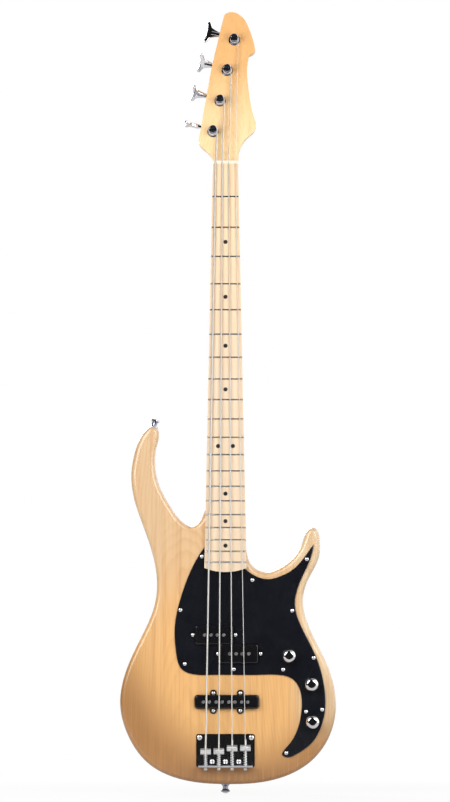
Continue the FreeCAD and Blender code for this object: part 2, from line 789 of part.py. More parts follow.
def make_neck():
    blank = new_body("neck")
    heel = new_sketch(blank, "XZ_Plane", "heel_plan", "body_thick / 2 + board_rise - board_thick")
    add_curves(heel, heel_plan(0, heel_end + size.heel_length))
    pad(blank, heel, "heel_thick - board_thick", reverse=True)

    heel_top = heel_end + size.heel_length
    heel_depth = size.heel_thick - size.board_thick
    low_depth = size.neck_depth_heel - size.board_thick
    high_depth = size.neck_depth_nut - size.board_thick
    head_depth = size.head_thick / math.cos(tilt)
    ramp_end = heel_top + size.heel_ramp
    throat_start = head_start - size.throat_length / 2
    stations = [(heel_top - 20, neck_half_width(heel_top - 20) - 0.4, heel_depth - 0.6, 0, 7)]
    for step in range(7):
        share = ease(step / 6)
        up = heel_top + size.heel_ramp * step / 6
        stations.append((up, neck_half_width(up) - 0.2 * (1 - share),
                         heel_depth - 0.9 + (low_depth - heel_depth + 0.9) * share, 0, 5.5 - 3.1 * share))
    for step in range(7):
        share = ease(step / 6)
        up = throat_start + size.throat_length * 1.5 * step / 6
        half = neck_half_width(min(up, nut_z)) + 1.4 * share
        drop = math.tan(tilt) * max(0, up - head_start)
        stations.append((up, half, high_depth + (head_depth - 0.3 - high_depth) * share, drop, 2.4 + 3.6 * share))
    sections = []
    for i, (up, half, depth, drop, power) in enumerate(stations):
        section = new_sketch(blank, "XY_Plane", f"neck_section_{i}")
        section.AttachmentOffset = Placement(Vector(0, 0, up), Rotation())
        edge = superellipse(half, depth, board_bottom - drop, power)
        add_curves(section, [spline(edge), Part.LineSegment(Vector(*edge[-1], 0), Vector(*edge[0], 0))])
        sections.append(section)
    loft = blank.newObject("PartDesign::AdditiveLoft", "neck_shaft")
    loft.Profile = sections[0]
    loft.Sections = sections[1:]
    loft.Ruled = True

    outline = head_sketch(blank, "head_outline")
    add_curves(outline, [spline(places_of(name)) for name in ("head_bass", "head_crown", "head_notch", "head_treble")])
    first, last = places_of("head_treble")[-1], places_of("head_bass")[0]
    outline.addGeometry(Part.LineSegment(Vector(*first, 0), Vector(*last, 0)), False)
    pad(blank, outline, "head_thick", reverse=True)
    seat = new_sketch(blank, "XZ_Plane", "nut_seat", "body_thick / 2 + board_rise")
    add_curves(seat, lines([(-size.nut_width, nut_z), (size.nut_width, nut_z), (size.nut_width, head_start),
                            (-size.nut_width, head_start)]))
    pocket(blank, seat, "board_thick")
    holes = head_sketch(blank, "tuner_holes")
    add_circles(holes, posts, "bushing_radius + bushing_hole_fit")
    pocket(blank, holes, "head_thick + 1")
    holes = head_sketch(blank, "tuner_pilots", size.head_thick)
    add_circles(holes, ear_spots, "tuner_screw_radius + screw_fit")
    pocket(blank, holes, "tuner_screw_length - ear_thick + 1", reverse=True)

    level = "body_thick / 2 + board_rise - board_thick"
    low, high = heel_end + size.rod_end_gap, nut_z - size.rod_end_gap
    for name, half, bottom, top in (("rod_channel", size.rod_radius, low, high),
                                    ("rod_nut_channel", size.rod_nut_radius, low, low + size.rod_nut_length)):
        channel = new_sketch(blank, "XZ_Plane", name, level)
        half += size.rod_fit
        grow = size.rod_fit
        add_curves(channel, lines([(-half, bottom - grow), (half, bottom - grow), (half, top + grow),
                                   (-half, top + grow)]))
        pocket(blank, channel, "rod_depth")
    holes = new_sketch(blank, "XZ_Plane", "neck_pilots", "body_thick / 2 + board_rise - heel_thick")
    add_circles(holes, plate_holes, "neck_screw_radius + screw_fit")
    pocket(blank, holes, "neck_screw_grip + 1", reverse=True)
    keep("neck", blank)

    middle_level = board_bottom - size.rod_depth + size.rod_nut_radius + size.rod_fit
    rod = turned("truss_rod", [
        ("0", "0"), ("rod_nut_radius", "0"), ("rod_nut_radius", "rod_nut_length"),
        ("rod_radius", "rod_nut_length"), ("rod_radius", f"{high - low}"), ("0", f"{high - low}")])
    rod.Placement = Placement(front(0, low, middle_level), Rotation())
    keep("truss_rod", rod)


board_axis = -(board_top - size.board_radius)


def ring_solid(points, half_angle):
    """Solid swept about the fingerboard's own axis from a closed row of (radius, z) corners."""
    corners = [Vector(0, board_axis - radius, up) for radius, up in points]
    section = Part.Face(Part.makePolygon(corners + corners[:1]))
    section.rotate(Vector(0, board_axis, 0), Vector(0, 0, 1), -math.degrees(half_angle))
    return section.revolve(Vector(0, board_axis, 0), Vector(0, 0, 1), 2 * math.degrees(half_angle))


def make_fingerboard():
    blank = new_body("fingerboard_blank")
    low = board_end - size.board_end_bulge - 4
    wide = neck_half_width(low) + 4
    section = new_sketch(blank, "XY_Plane", "board_section")
    section.AttachmentOffset = Placement(Vector(0, 0, low), Rotation())
    shoulder = board_axis - math.sqrt(size.board_radius ** 2 - wide ** 2)
    left, right = Vector(-wide, shoulder, 0), Vector(wide, shoulder, 0)
    floor = [Vector(wide, -board_bottom, 0), Vector(-wide, -board_bottom, 0)]
    add_curves(section, [Part.Arc(left, Vector(0, -board_top, 0), right), Part.LineSegment(right, floor[0]),
                         Part.LineSegment(floor[0], floor[1]), Part.LineSegment(floor[1], left)])
    bar = blank.newObject("PartDesign::Pad", "board_bar")
    bar.Profile = section
    bar.Length = nut_z - low + 4
    plan = new_sketch(blank, "XZ_Plane", "board_plan", "body_thick / 2 + board_rise + 1")
    foot, top = neck_half_width(board_end), neck_half_width(nut_z)
    corner = [Vector(-foot, board_end, 0), Vector(foot, board_end, 0), Vector(top, nut_z, 0), Vector(-top, nut_z, 0)]
    add_curves(plan, [Part.Arc(corner[0], Vector(0, board_end - size.board_end_bulge, 0), corner[1])])
    add_curves(plan, [Part.LineSegment(corner[i], corner[(i + 1) % 4]) for i in (1, 2, 3)])
    add_curves(plan, lines([(-wide - 9, low - 9), (wide + 9, low - 9), (wide + 9, nut_z + 9), (-wide - 9, nut_z + 9)]))
    pocket(blank, plan, "board_thick + 2")

    radius, tang, fit = size.board_radius, size.fret_tang / 2, size.fret_fit
    slots, frets = [], []
    for number in range(1, int(size.fret_count) + 1):
        up = fret_z(number)
        half = neck_half_width(up)
        slots.append(ring_solid([(radius - size.fret_tang_depth - fit, up - tang - fit), (radius + 1, up - tang - fit),
                                 (radius + 1, up + tang + fit), (radius - size.fret_tang_depth - fit, up + tang + fit)],
                                (half + 3) / radius))
        crown = size.fret_width / 2
        frets.append(ring_solid([(radius, up - crown), (radius + size.fret_height * 0.7, up - crown * 0.72),
                                 (radius + size.fret_height, up - crown * 0.22),
                                 (radius + size.fret_height, up + crown * 0.22),
                                 (radius + size.fret_height * 0.7, up + crown * 0.72), (radius, up + crown),
                                 (radius, up + tang), (radius - size.fret_tang_depth, up + tang),
                                 (radius - size.fret_tang_depth, up - tang), (radius, up - tang)],
                                math.asin((half - size.fret_inset) / radius)))
    dots, holes = [], []
    barrel = Part.makeCylinder(radius, nut_z, Vector(0, board_axis, 0))
    for number in marker_frets:
        up = (fret_z(number) + fret_z(number - 1)) / 2
        for across in ((-size.marker_pair_spread, size.marker_pair_spread) if number == 12 else (0,)):
            bottom = front(across, up, board_top - size.marker_depth)
            dots.append(Part.makeCylinder(size.marker_radius, size.marker_depth + 1, bottom, forward).common(barrel))
            holes.append(Part.makeCylinder(size.marker_radius + size.marker_fit, size.marker_depth + 1,
                                           bottom, forward))
    cuts = doc.addObject("Part::Feature", "board_cuts")
    cuts.Shape = Part.makeCompound(slots + holes)
    keep("fingerboard", cut("fingerboard", blank, [cuts]))
    wires = doc.addObject("Part::Feature", "frets")
    wires.Shape = Part.makeCompound(frets)
    keep("frets", wires)
    inlay = doc.addObject("Part::Feature", "position_markers")
    inlay.Shape = Part.makeCompound(dots)
    keep("position_markers", inlay)


def string_radius(k):
    return value("string_radius_" + names[k])


def sag(across):
    return across * across / (2 * size.board_radius)


saddle_x = [(k - 1.5) * size.saddle_string_pitch for k in range(4)]
nut_x = [(k - 1.5) * size.nut_string_pitch for k in range(4)]
crest_z = [size.tail_to_scale - value("setback_" + name) for name in names]
crest_level = [face + size.string_rise_saddle - sag(x) + size.saddle_groove for x in saddle_x]
adjuster_level = [level - size.adjuster_drop for level in crest_level]
hole_level = [level - size.string_hole_drop for level in crest_level]
passage_level = [hole_level[k] + (crest_level[k] - size.saddle_groove + value("string_radius_" + names[k]) - hole_level[k])
                 * (size.ball_radius + size.flange_thick / 2) / (crest_z[k] - size.bridge_back + size.ball_radius)
                 for k in range(4)]
nut_level = [board_top + size.fret_height + size.string_rise_nut - sag(nut_x[k]) + string_radius(k) for k in range(4)]


def arc_between(start, way, end):
    """Arc that leaves start along way and ends at end, with its end direction."""
    chord = end - start
    length = chord.Length
    unit = chord * (1 / length)
    way = way * (1 / way.Length)
    side = way - unit * way.dot(unit)
    if side.Length < 1e-7:
        return Part.LineSegment(start, end).toShape()
    turn = math.acos(max(-1, min(1, way.dot(unit))))
    middle = (start + end) * 0.5 + side * (1 / side.Length) * (length / 2 * math.tan(turn / 2))
    return Part.Arc(start, middle, end).toShape()


def biarc(start, way, end, end_way):
    chord = end - start
    both = way + end_way
    across = 2 * (1 - way.dot(end_way))
    dot = chord.dot(both)
    if across < 1e-9:
        reach = chord.dot(chord) / (4 * chord.dot(end_way))
    else:
        reach = (-dot + math.sqrt(dot * dot + across * chord.dot(chord))) / across
    middle = (start + end + (way - end_way) * reach) * 0.5
    back = (end_way * -1)
    return [arc_between(start, way, middle), arc_between(end, back, middle)]


def bend(before, corner, after, radius):
    """Start, arc and end of a rounded corner on a path of straight runs."""
    arrive = (corner - before).normalize()
    leave = (after - corner).normalize()
    turn = math.acos(max(-1, min(1, arrive.dot(leave))))
    reach = radius * math.tan(turn / 2)
    start, end = corner - arrive * reach, corner + leave * reach
    middle = corner + (leave - arrive).normalize() * (radius / math.cos(turn / 2) - radius)
    return start, Part.Arc(start, middle, end).toShape(), end


def tube(edges, start, way, radius):
    path = Part.Wire(edges)
    circle = Part.Wire([Part.Circle(start, way, radius).toShape()])
    return path.makePipeShell([circle], True, False)


def least_self_gap(points, thick, apart):
    """Least clear distance between turns, on points at least apart steps from one another."""
    least = None
    for i in range(0, len(points) - apart):
        for j in range(i + apart, len(points)):
            gap = points[i].distanceToPoint(points[j]) - thick
            least = gap if least is None else min(least, gap)
    return least


def make_string(k):
    radius = string_radius(k)
    start = front(saddle_x[k], size.bridge_back - size.ball_radius, hole_level[k])
    crest = front(saddle_x[k], crest_z[k], crest_level[k] - size.saddle_groove + radius)
    nut = front(nut_x[k], nut_z, nut_level[k])
    inside = head_place.inverse().multVec(nut)
    x, z = posts[k]
    wrap = size.post_waist_radius + size.wrap_gap + radius
    reach = math.hypot(x - inside.x, z - inside.z)
    lead = math.sqrt(reach ** 2 - wrap ** 2)
    heading = math.atan2(x - inside.x, z - inside.z) + math.asin(wrap / reach)
    touch = Vector(inside.x + lead * math.sin(heading), -(size.bushing_crown_height + size.wrap_rise + radius),
                   inside.z + lead * math.cos(heading))
    angle = math.atan2(touch.z - z, touch.x - x)
    pitch = 2 * radius + size.wrap_spread
    turns = value("wrap_turns_" + names[k])

    def on_wrap(turned):
        way = angle + turned
        spot = Vector(x + wrap * math.cos(way), touch.y - pitch * turned / (2 * math.pi), z + wrap * math.sin(way))
        run = Vector(-wrap * math.sin(way), -pitch / (2 * math.pi), wrap * math.cos(way)).normalize()
        return spot, run

    first = head_place.multVec(touch)
    a0, a_arc, a1 = bend(start, crest, nut, size.string_bend_radius)
    b0, b_arc, b1 = bend(crest, nut, first, size.string_bend_radius)
    edges = [Part.LineSegment(start, a0).toShape(), a_arc, Part.LineSegment(a1, b0).toShape(), b_arc,
             Part.LineSegment(b1, first).toShape()]
    spot, run = touch, (touch - inside).normalize()
    for step in range(1, int(turns * 4) + 1):
        end, end_run = on_wrap(step * math.pi / 2)
        for edge in biarc(spot, run, end, end_run):
            edge.Placement = head_place.multiply(edge.Placement)
            edges.append(edge)
        spot, run = end, end_run
    wire = tube(edges, start, crest - start, radius)
    ball = Part.makeCylinder(size.ball_radius, size.ball_length,
                             start - Vector(size.ball_length / 2, 0, 0), Vector(1, 0, 0))
    thing = doc.addObject("Part::Feature", "string_" + names[k])
    thing.Shape = wire.fuse(ball)
    keep("string_" + names[k], thing)
    marks = [on_wrap(i * math.pi / 18)[0] for i in range(int(turns * 36) + 1)]
    print("string", names[k], "least gap between turns", round(least_self_gap(marks, 2 * radius, 27), 3))
    return nut, first


def make_spring(k, low, high):
    radius, wire = size.spring_radius, size.spring_wire_radius
    centre = front(saddle_x[k], 0, adjuster_level[k])
    curls = size.spring_curls
    rise = (high - low - 2 * wire) / curls

    def on_spring(turned):
        spot = centre + Vector(radius * math.cos(turned), radius * math.sin(turned),
                               low + wire + rise * turned / (2 * math.pi))
        run = Vector(-radius * math.sin(turned), radius * math.cos(turned), rise / (2 * math.pi)).normalize()
        return spot, run

    edges = []
    spot, run = on_spring(0)
    first, way = spot, run
    for step in range(1, int(curls * 4) + 1):
        end, end_run = on_spring(step * math.pi / 2)
        edges += biarc(spot, run, end, end_run)
        spot, run = end, end_run
    marks = [on_spring(i * math.pi / 18)[0] for i in range(int(curls * 36) + 1)]
    print("spring", names[k], "least gap between turns", round(least_self_gap(marks, 2 * wire, 27), 3))
    return tube(edges, first, way, wire)


def make_nut(runs):
    blank = new_body("nut_blank")
    section = new_sketch(blank, "XY_Plane", "nut_section")
    section.AttachmentOffset = Placement(Vector(0, 0, nut_z), Rotation())
    half = size.nut_width / 2
    top = board_top + size.fret_height + size.string_rise_nut + size.nut_top_rise
    left, right = Vector(-half, -(top - sag(half)), 0), Vector(half, -(top - sag(half)), 0)
    floor = [Vector(half, -board_bottom, 0), Vector(-half, -board_bottom, 0)]
    add_curves(section, [Part.Arc(left, Vector(0, -top, 0), right), Part.LineSegment(right, floor[0]),
                         Part.LineSegment(floor[0], floor[1]), Part.LineSegment(floor[1], left)])
    pad(blank, section, "nut_thick")
    slots = []
    for k, (corner, far) in enumerate(runs):
        run = (far - corner).normalize()
        radius = string_radius(k) + size.nut_slot_fit
        high = 4 * size.nut_top_rise
        ends = [Vector(-radius, high, 0), Vector(-radius, 0, 0), Vector(radius, 0, 0), Vector(radius, high, 0)]
        outline = Part.Wire([Part.LineSegment(ends[0], ends[1]).toShape(),
                             Part.Arc(ends[1], Vector(0, -radius, 0), ends[2]).toShape(),
                             Part.LineSegment(ends[2], ends[3]).toShape(),
                             Part.LineSegment(ends[3], ends[0]).toShape()])
        slot = Part.Face(outline).extrude(Vector(0, 0, 2 * size.nut_thick))
        slot.Placement = Placement(corner - run * (size.nut_thick / 2), Rotation(Vector(1, 0, 0), forward, run, "ZXY"))
        slots.append(slot)
    cuts = doc.addObject("Part::Feature", "nut_slots")
    cuts.Shape = Part.makeCompound(slots)
    keep("nut", cut("nut", blank, [cuts]))


def make_bridge():
    plate = new_body("bridge_plate")
    half = size.bridge_width / 2
    back = size.bridge_back
    base = new_sketch(plate, "XZ_Plane", "bridge_base", "body_thick / 2")
    add_curves(base, rounded(-half, back, half, bridge_front, size.bridge_corner))
    pad(plate, base, "bridge_thick")
    rise = new_sketch(plate, "XZ_Plane", "bridge_flange", "body_thick / 2")
    add_curves(rise, lines([(-half + size.bridge_corner, back), (half - size.bridge_corner, back),
                            (half - size.bridge_corner, back + size.flange_thick),
                            (-half + size.bridge_corner, back + size.flange_thick)]))
    pad(plate, rise, "flange_height")
    holes = new_sketch(plate, "XZ_Plane", "bridge_screw_holes", "body_thick / 2 + bridge_thick")
    add_circles(holes, bridge_screw_spots, "bridge_screw_radius + screw_fit")
    pocket(plate, holes, "bridge_thick")
    holes = new_sketch(plate, "XY_Plane", "adjuster_holes", "bridge_back + flange_thick")
    add_circles(holes, [(saddle_x[k], -adjuster_level[k]) for k in range(4)], "adjuster_radius + adjuster_hole_gap")
    pocket(plate, holes, "flange_thick")
    for k in range(4):
        hole = new_sketch(plate, "XY_Plane", "string_hole_" + names[k], "bridge_back + flange_thick")
        add_circles(hole, [(saddle_x[k], -passage_level[k])], f"string_radius_{names[k]} + string_hole_gap")
        pocket(plate, hole, "flange_thick")
    keep("bridge_plate", plate)
    screw = wood_screw("bridge_screw", "bridge_screw_radius", "bridge_screw_length")
    keep("bridge_screws", copies("bridge_screws", screw, [
        aim(front(x, z, face + size.bridge_thick), forward) for x, z in bridge_screw_spots]))

    springs = []
    for k in range(4):
        name = names[k]
        crest, middle = crest_level[k], crest_z[k]
        block = new_body("saddle_block_" + name)
        side = new_sketch(block, "YZ_Plane", "saddle_side_" + name)
        side.AttachmentOffset = Placement(Vector(0, 0, saddle_x[k]), Rotation())
        reach = size.saddle_length / 2
        low, shoulder = -(crest - size.saddle_height), -(crest - size.saddle_shoulder)
        corner = [Vector(low, middle - reach, 0), Vector(shoulder, middle - reach, 0),
                  Vector(shoulder, middle + reach, 0), Vector(low, middle + reach, 0)]
        add_curves(side, [Part.LineSegment(corner[0], corner[1]),
                          Part.Arc(corner[1], Vector(-crest, middle, 0), corner[2]),
                          Part.LineSegment(corner[2], corner[3]), Part.LineSegment(corner[3], corner[0])])
        pad(block, side, "saddle_width", middle=True)
        radius = f"string_radius_{name}"
        length = "saddle_length + 2"
        low_end = middle - reach - 1
        groove = crest - size.saddle_groove + string_radius(k)
        top = front(saddle_x[k], middle, groove)
        ball = front(saddle_x[k], size.bridge_back - size.ball_radius, hole_level[k])
        tools = [cylinder("saddle_groove_" + name, radius + " + saddle_string_gap", "saddle_length",
                          aim(top, Vector(0, 0, 1))),
                 cylinder("saddle_rear_groove_" + name, radius + " + saddle_string_gap", "saddle_length",
                          aim(top, ball - top)),
                 cylinder("saddle_thread_" + name, "adjuster_radius + adjuster_fit", length,
                          aim(front(saddle_x[k], low_end, adjuster_level[k]), Vector(0, 0, 1)))]
        grubs = []
        for across in (-1, 1):
            x = saddle_x[k] + across * size.grub_spread
            foot = face + size.bridge_thick + size.grub_foot_gap
            long = crest - size.grub_head_drop - foot
            tools.append(cylinder(f"grub_hole_{name}{across + 1}", "grub_radius + grub_fit", "saddle_height + 12",
                                  aim(front(x, middle, foot - 1), forward)))
            grubs.append(cylinder(f"grub_{name}{across + 1}", "grub_radius", f"{long}",
                                  aim(front(x, middle, foot), forward)))
        keep("saddle_" + name, group("saddle_" + name, [cut("saddle_cut_" + name, block, tools)] + grubs))

        flange = size.bridge_back
        reach_z = middle + size.saddle_length / 2 + size.adjuster_reach
        adjuster = turned("intonation_screw_" + name, [
            ("0", "-0.1 - adjuster_head_length"), ("adjuster_head_radius", "-0.1 - adjuster_head_length"),
            ("adjuster_head_radius", "-0.1"), ("adjuster_radius", "-0.1"),
            ("adjuster_radius", f"{reach_z - flange}"), ("0", f"{reach_z - flange}")])
        adjuster.Placement = Placement(front(saddle_x[k], flange, adjuster_level[k]), Rotation())
        keep("intonation_screw_" + name, adjuster)
        springs.append(make_spring(k, flange + size.flange_thick + size.spring_end_gap,
                                   middle - size.saddle_length / 2 - size.spring_end_gap))
    coils = doc.addObject("Part::Feature", "intonation_springs")
    coils.Shape = Part.makeCompound(springs)
    keep("intonation_springs", coils)


def wheel_section(twist):
    """Closed outline of the tuner wheel, turned by twist, in the plane of its own axis."""
    pitch_radius = size.tooth_module * size.wheel_teeth / 2
    spacing = size.worm_pitch_radius + pitch_radius
    tip = spacing - size.worm_core_radius - size.tooth_tip_gap
    root = spacing - size.worm_tip_radius - size.tooth_tip_gap
    base = pitch_radius * math.cos(math.radians(20))
    thick = 0.40 * math.pi * size.tooth_module

    def half_angle(radius):
        if radius <= base:
            radius = base
        press = math.acos(base / radius)
        start = math.radians(20)
        involute = (math.tan(start) - start) - (math.tan(press) - press)
        return thick / (2 * pitch_radius) + involute

    points = []
    count = int(size.wheel_teeth)
    for tooth in range(count):
        middle = 2 * math.pi * (tooth + 0.5) / count + twist
        flank = [(root, -half_angle(root) - 0.04), (pitch_radius, -half_angle(pitch_radius)), (tip, -half_angle(tip)),
                 (tip, half_angle(tip)), (pitch_radius, half_angle(pitch_radius)), (root, half_angle(root) + 0.04)]
        points += [(radius * math.sin(middle + turn), radius * math.cos(middle + turn)) for radius, turn in flank]
    return points


def make_wheel(bottom, top):
    pitch_radius = size.tooth_module * size.wheel_teeth / 2
    climb = size.tooth_module / 2 / size.worm_pitch_radius
    turn = (top - bottom) / 2 * climb / pitch_radius
    wires = []
    for level, twist in ((bottom, turn), (top, -turn)):
        corners = [Vector(x, y, level) for x, y in wheel_section(twist)]
        wires.append(Part.makePolygon(corners + corners[:1]))
    return Part.makeLoft(wires, True, True)


worm_gap = size.worm_pitch_radius + size.tooth_module * size.wheel_teeth / 2
wheel_middle = size.head_thick + size.wheel_drop + size.wheel_width / 2
worm_axis = Vector(0, wheel_middle, worm_gap)
post_turn = Rotation(Vector(1, 0, 0), 90)
shaft_turn = Rotation(Vector(0, 1, 0), 90)


def make_worm():
    pitch = math.pi * size.tooth_module
    half = size.worm_half_length
    helix = Part.makeHelix(pitch, 2 * half - pitch, size.worm_core_radius)
    slope = math.tan(math.radians(20))
    at_pitch = 0.19 * pitch
    foot = at_pitch + slope * (size.worm_pitch_radius - size.worm_core_radius + 0.2)
    crown = at_pitch - slope * (size.worm_tip_radius - size.worm_pitch_radius)
    inner, outer = size.worm_core_radius - 0.2, size.worm_tip_radius - 0.01
    corners = [Vector(inner, 0, -foot), Vector(outer, 0, -crown), Vector(outer, 0, crown), Vector(inner, 0, foot)]
    profile = Part.makePolygon(corners + corners[:1])
    thread = Part.Wire(helix.Edges).makePipeShell([profile], True, True)
    rest = round((half - pitch / 2) / pitch) * pitch
    thread.translate(Vector(0, 0, -rest))
    return thread


def make_tuners():
    back = size.head_thick
    case = new_body("tuner_case")
    plan = new_sketch(case, "XZ_Plane", "case_plan")
    plan.AttachmentOffset = Placement(Vector(0, 0, -back), Rotation())
    wide = size.housing_half_width
    add_curves(plan, rounded(-wide, -size.housing_bottom, wide, size.housing_top, size.housing_corner))
    shell = pad(case, plan, "housing_depth", reverse=True)
    far = back + size.housing_depth
    fillet(case, shell, "housing_round", lambda edge: edge.BoundBox.YMin > far - 1e-6)
    room = new_sketch(case, "XZ_Plane", "wheel_room")
    room.AttachmentOffset = Placement(Vector(0, 0, -back), Rotation())
    add_circles(room, [(0, 0)], "tooth_module * (wheel_teeth / 2 + 1) + 0.5")
    pocket(case, room, "wheel_drop + wheel_width + 0.5")
    seat = new_sketch(case, "XZ_Plane", "pivot_seat")
    seat.AttachmentOffset = Placement(Vector(0, 0, -back), Rotation())
    add_circles(seat, [(0, 0)], "pivot_radius + post_fit")
    pocket(case, seat, "wheel_drop + wheel_width + 0.5 + pivot_length")
    ear = new_sketch(case, "XZ_Plane", "screw_ear")
    ear.AttachmentOffset = Placement(Vector(0, 0, -back), Rotation())
    add_curves(ear, capsule((0, -size.ear_drop), (0, -size.housing_bottom + size.ear_radius), size.ear_radius))
    pad(case, ear, "ear_thick", reverse=True)
    hole = new_sketch(case, "XZ_Plane", "ear_hole")
    hole.AttachmentOffset = Placement(Vector(0, 0, -back), Rotation())
    add_circles(hole, [(0, -size.ear_drop)], "tuner_screw_radius + screw_fit")
    pocket(case, hole, "ear_thick + 1")
    again = new_sketch(case, "XZ_Plane", "wheel_room_clear")
    again.AttachmentOffset = Placement(Vector(0, 0, -back), Rotation())
    add_circles(again, [(0, 0)], "tooth_module * (wheel_teeth / 2 + 1) + 0.5")
    pocket(case, again, "wheel_drop + wheel_width + 0.5")
    collar = cylinder("tuner_collar", "collar_radius", "collar_end - housing_half_width + 2",
                      aim(worm_axis + Vector(-size.collar_end, 0, 0), Vector(1, 0, 0)))
    bore = cylinder("shaft_bore", "shaft_radius + shaft_fit", "collar_end + shaft_far_end + 1.2",
                    aim(worm_axis + Vector(-size.collar_end - 1, 0, 0), Vector(1, 0, 0)))
    room = cylinder("worm_room", "worm_tip_radius + 0.4", "2 * worm_half_length + 0.6",
                    aim(worm_axis + Vector(-size.worm_half_length - 0.3, 0, 0), Vector(1, 0, 0)))
    housing = cut("tuner_housing", fused("tuner_case_and_collar", [case, collar]), [bore, room])
    keep("tuner_housings", copies("tuner_housings", housing, tuner_places))
    screw = wood_screw("tuner_screw", "tuner_screw_radius", "tuner_screw_length")
    ear_place = aim(Vector(0, back + size.ear_thick, -size.ear_drop), backward)
    keep("tuner_screws", copies("tuner_screws", screw, [place.multiply(ear_place) for place in tuner_places]))

    bushing = turned("tuner_bushing", [
        ("post_radius + post_fit", "-head_thick + 1"), ("bushing_radius", "-head_thick + 1"), ("bushing_radius", "0"),
        ("bushing_flange_radius", "0"), ("bushing_flange_radius", "bushing_flange_thick"),
        ("bushing_crown_radius", "bushing_flange_thick"),
        ("bushing_crown_radius", "bushing_crown_height - 0.6"), ("bushing_crown_radius - 0.6", "bushing_crown_height"),
        ("post_radius + post_fit", "bushing_crown_height")])
    keep("tuner_bushings", copies("tuner_bushings", bushing, [
        place.multiply(Placement(Vector(), post_turn)) for place in tuner_places]))

    wheel_back = "-head_thick - wheel_drop - wheel_width"
    core = "post_waist_radius - 0.75"
    spindle = turned("post_spindle", [
        ("0", wheel_back + " - pivot_length"), ("pivot_radius", wheel_back + " - pivot_length"),
        ("pivot_radius", wheel_back), (core, wheel_back), (core, "-head_thick - wheel_drop + 0.4"),
        ("post_radius", "-head_thick - wheel_drop + 0.4"), ("post_radius", "bushing_crown_height + 0.4"),
        ("post_waist_radius", "bushing_crown_height + 0.8"), ("post_waist_radius", "post_height - 5"),
        ("post_flare_radius", "post_height - 2"), ("post_flare_radius", "post_height - 0.8"),
        ("post_flare_radius - 0.8", "post_height"), ("0", "post_height")])
    slot = box_of("post_slot", ("post_flare_radius * 2 + 2", "post_slot_width", "post_slot_depth + 1"),
                  Placement(Vector(-size.post_flare_radius - 1, -size.post_slot_width / 2,
                                   size.post_height - size.post_slot_depth), Rotation()))
    hole = cylinder("post_hole", "post_hole_radius", "post_slot_depth * 2 + 1",
                    Placement(Vector(0, 0, size.post_height - size.post_slot_depth * 2), Rotation()))
    gear = doc.addObject("Part::Feature", "post_wheel")
    middle = -wheel_middle
    gear.Shape = make_wheel(middle - size.wheel_width / 2, middle + size.wheel_width / 2)
    post = cut("post_master", fused("post_with_wheel", [spindle, gear]), [slot, hole])

    tang = "shaft_tang_radius"
    half = "worm_half_length"
    rod = turned("shaft_rod", [
        ("0", "-shaft_tang_end"), (tang, "-shaft_tang_end"), (tang, "-shaft_tang_start"),
        ("shaft_radius", "-shaft_tang_start"), ("shaft_radius", "-" + half), ("worm_core_radius", "-" + half),
        ("worm_core_radius", half), ("shaft_radius", half), ("shaft_radius", "shaft_far_end"),
        ("0", "shaft_far_end")])
    thread = doc.addObject("Part::Feature", "worm_thread")
    thread.Shape = make_worm()
    shaft = fused("shaft_master", [rod, thread])

    start, end = -size.paddle_start, -size.paddle_end
    wide, stem = size.paddle_half_width, size.paddle_stem_half_width
    paddle = new_body("paddle")
    plan = new_sketch(paddle, "XZ_Plane", "paddle_plan")
    length = size.paddle_end - size.paddle_start
    flank = [(start, stem), (start - length * 0.34, stem + (wide - stem) * 0.16),
             (start - length * 0.66, stem + (wide - stem) * 0.5), (end + 4.2, wide - 0.7), (end + 1.8, wide),
             (end + 0.2, wide - 2), (end + 0.7, wide - 5.5), (end + size.paddle_end_dish, 0)]
    add_curves(plan, [spline(flank + [(x, -z) for x, z in flank[-2::-1]]),
                      Part.LineSegment(Vector(start, stem, 0), Vector(start, -stem, 0))])
    blade = pad(paddle, plan, "paddle_thick", middle=True)
    fillet(paddle, blade, "paddle_round", lambda edge: edge.BoundBox.YLength < 1e-6
           and edge.BoundBox.XMin < start - 1)
    hub = cylinder("paddle_hub", "paddle_hub_radius", "shaft_tang_end - paddle_start + 1.5",
                   aim(Vector(-size.shaft_tang_end - 1, 0, 0), Vector(1, 0, 0)))
    bore = cylinder("paddle_bore", "shaft_tang_radius + 0.04", "shaft_tang_end - paddle_start + 2",
                    aim(Vector(-size.shaft_tang_end - 0.1, 0, 0), Vector(1, 0, 0)))
    mouth = cylinder("paddle_mouth", "shaft_radius + 0.04", "shaft_tang_start - paddle_start + 2",
                     aim(Vector(-size.shaft_tang_start - 0.1, 0, 0), Vector(1, 0, 0)))
    button = cut("button_master", fused("paddle_and_hub", [paddle, hub]), [bore, mouth])
    doc.recompute()
    for k, name in enumerate(names):
        place = tuner_places[k]
        keep("string_post_" + name, placed("string_post_" + name, post,
                                           place.multiply(Placement(Vector(), post_turn))))
        on_axis = place.multiply(Placement(worm_axis, Rotation()))
        keep("worm_shaft_" + name, placed("worm_shaft_" + name, shaft,
                                          on_axis.multiply(Placement(Vector(), shaft_turn))))
        turn = Rotation(Vector(1, 0, 0), value("paddle_turn_" + name))
        keep("tuner_button_" + name, placed("tuner_button_" + name, button,
                                            on_axis.multiply(Placement(Vector(), turn))))


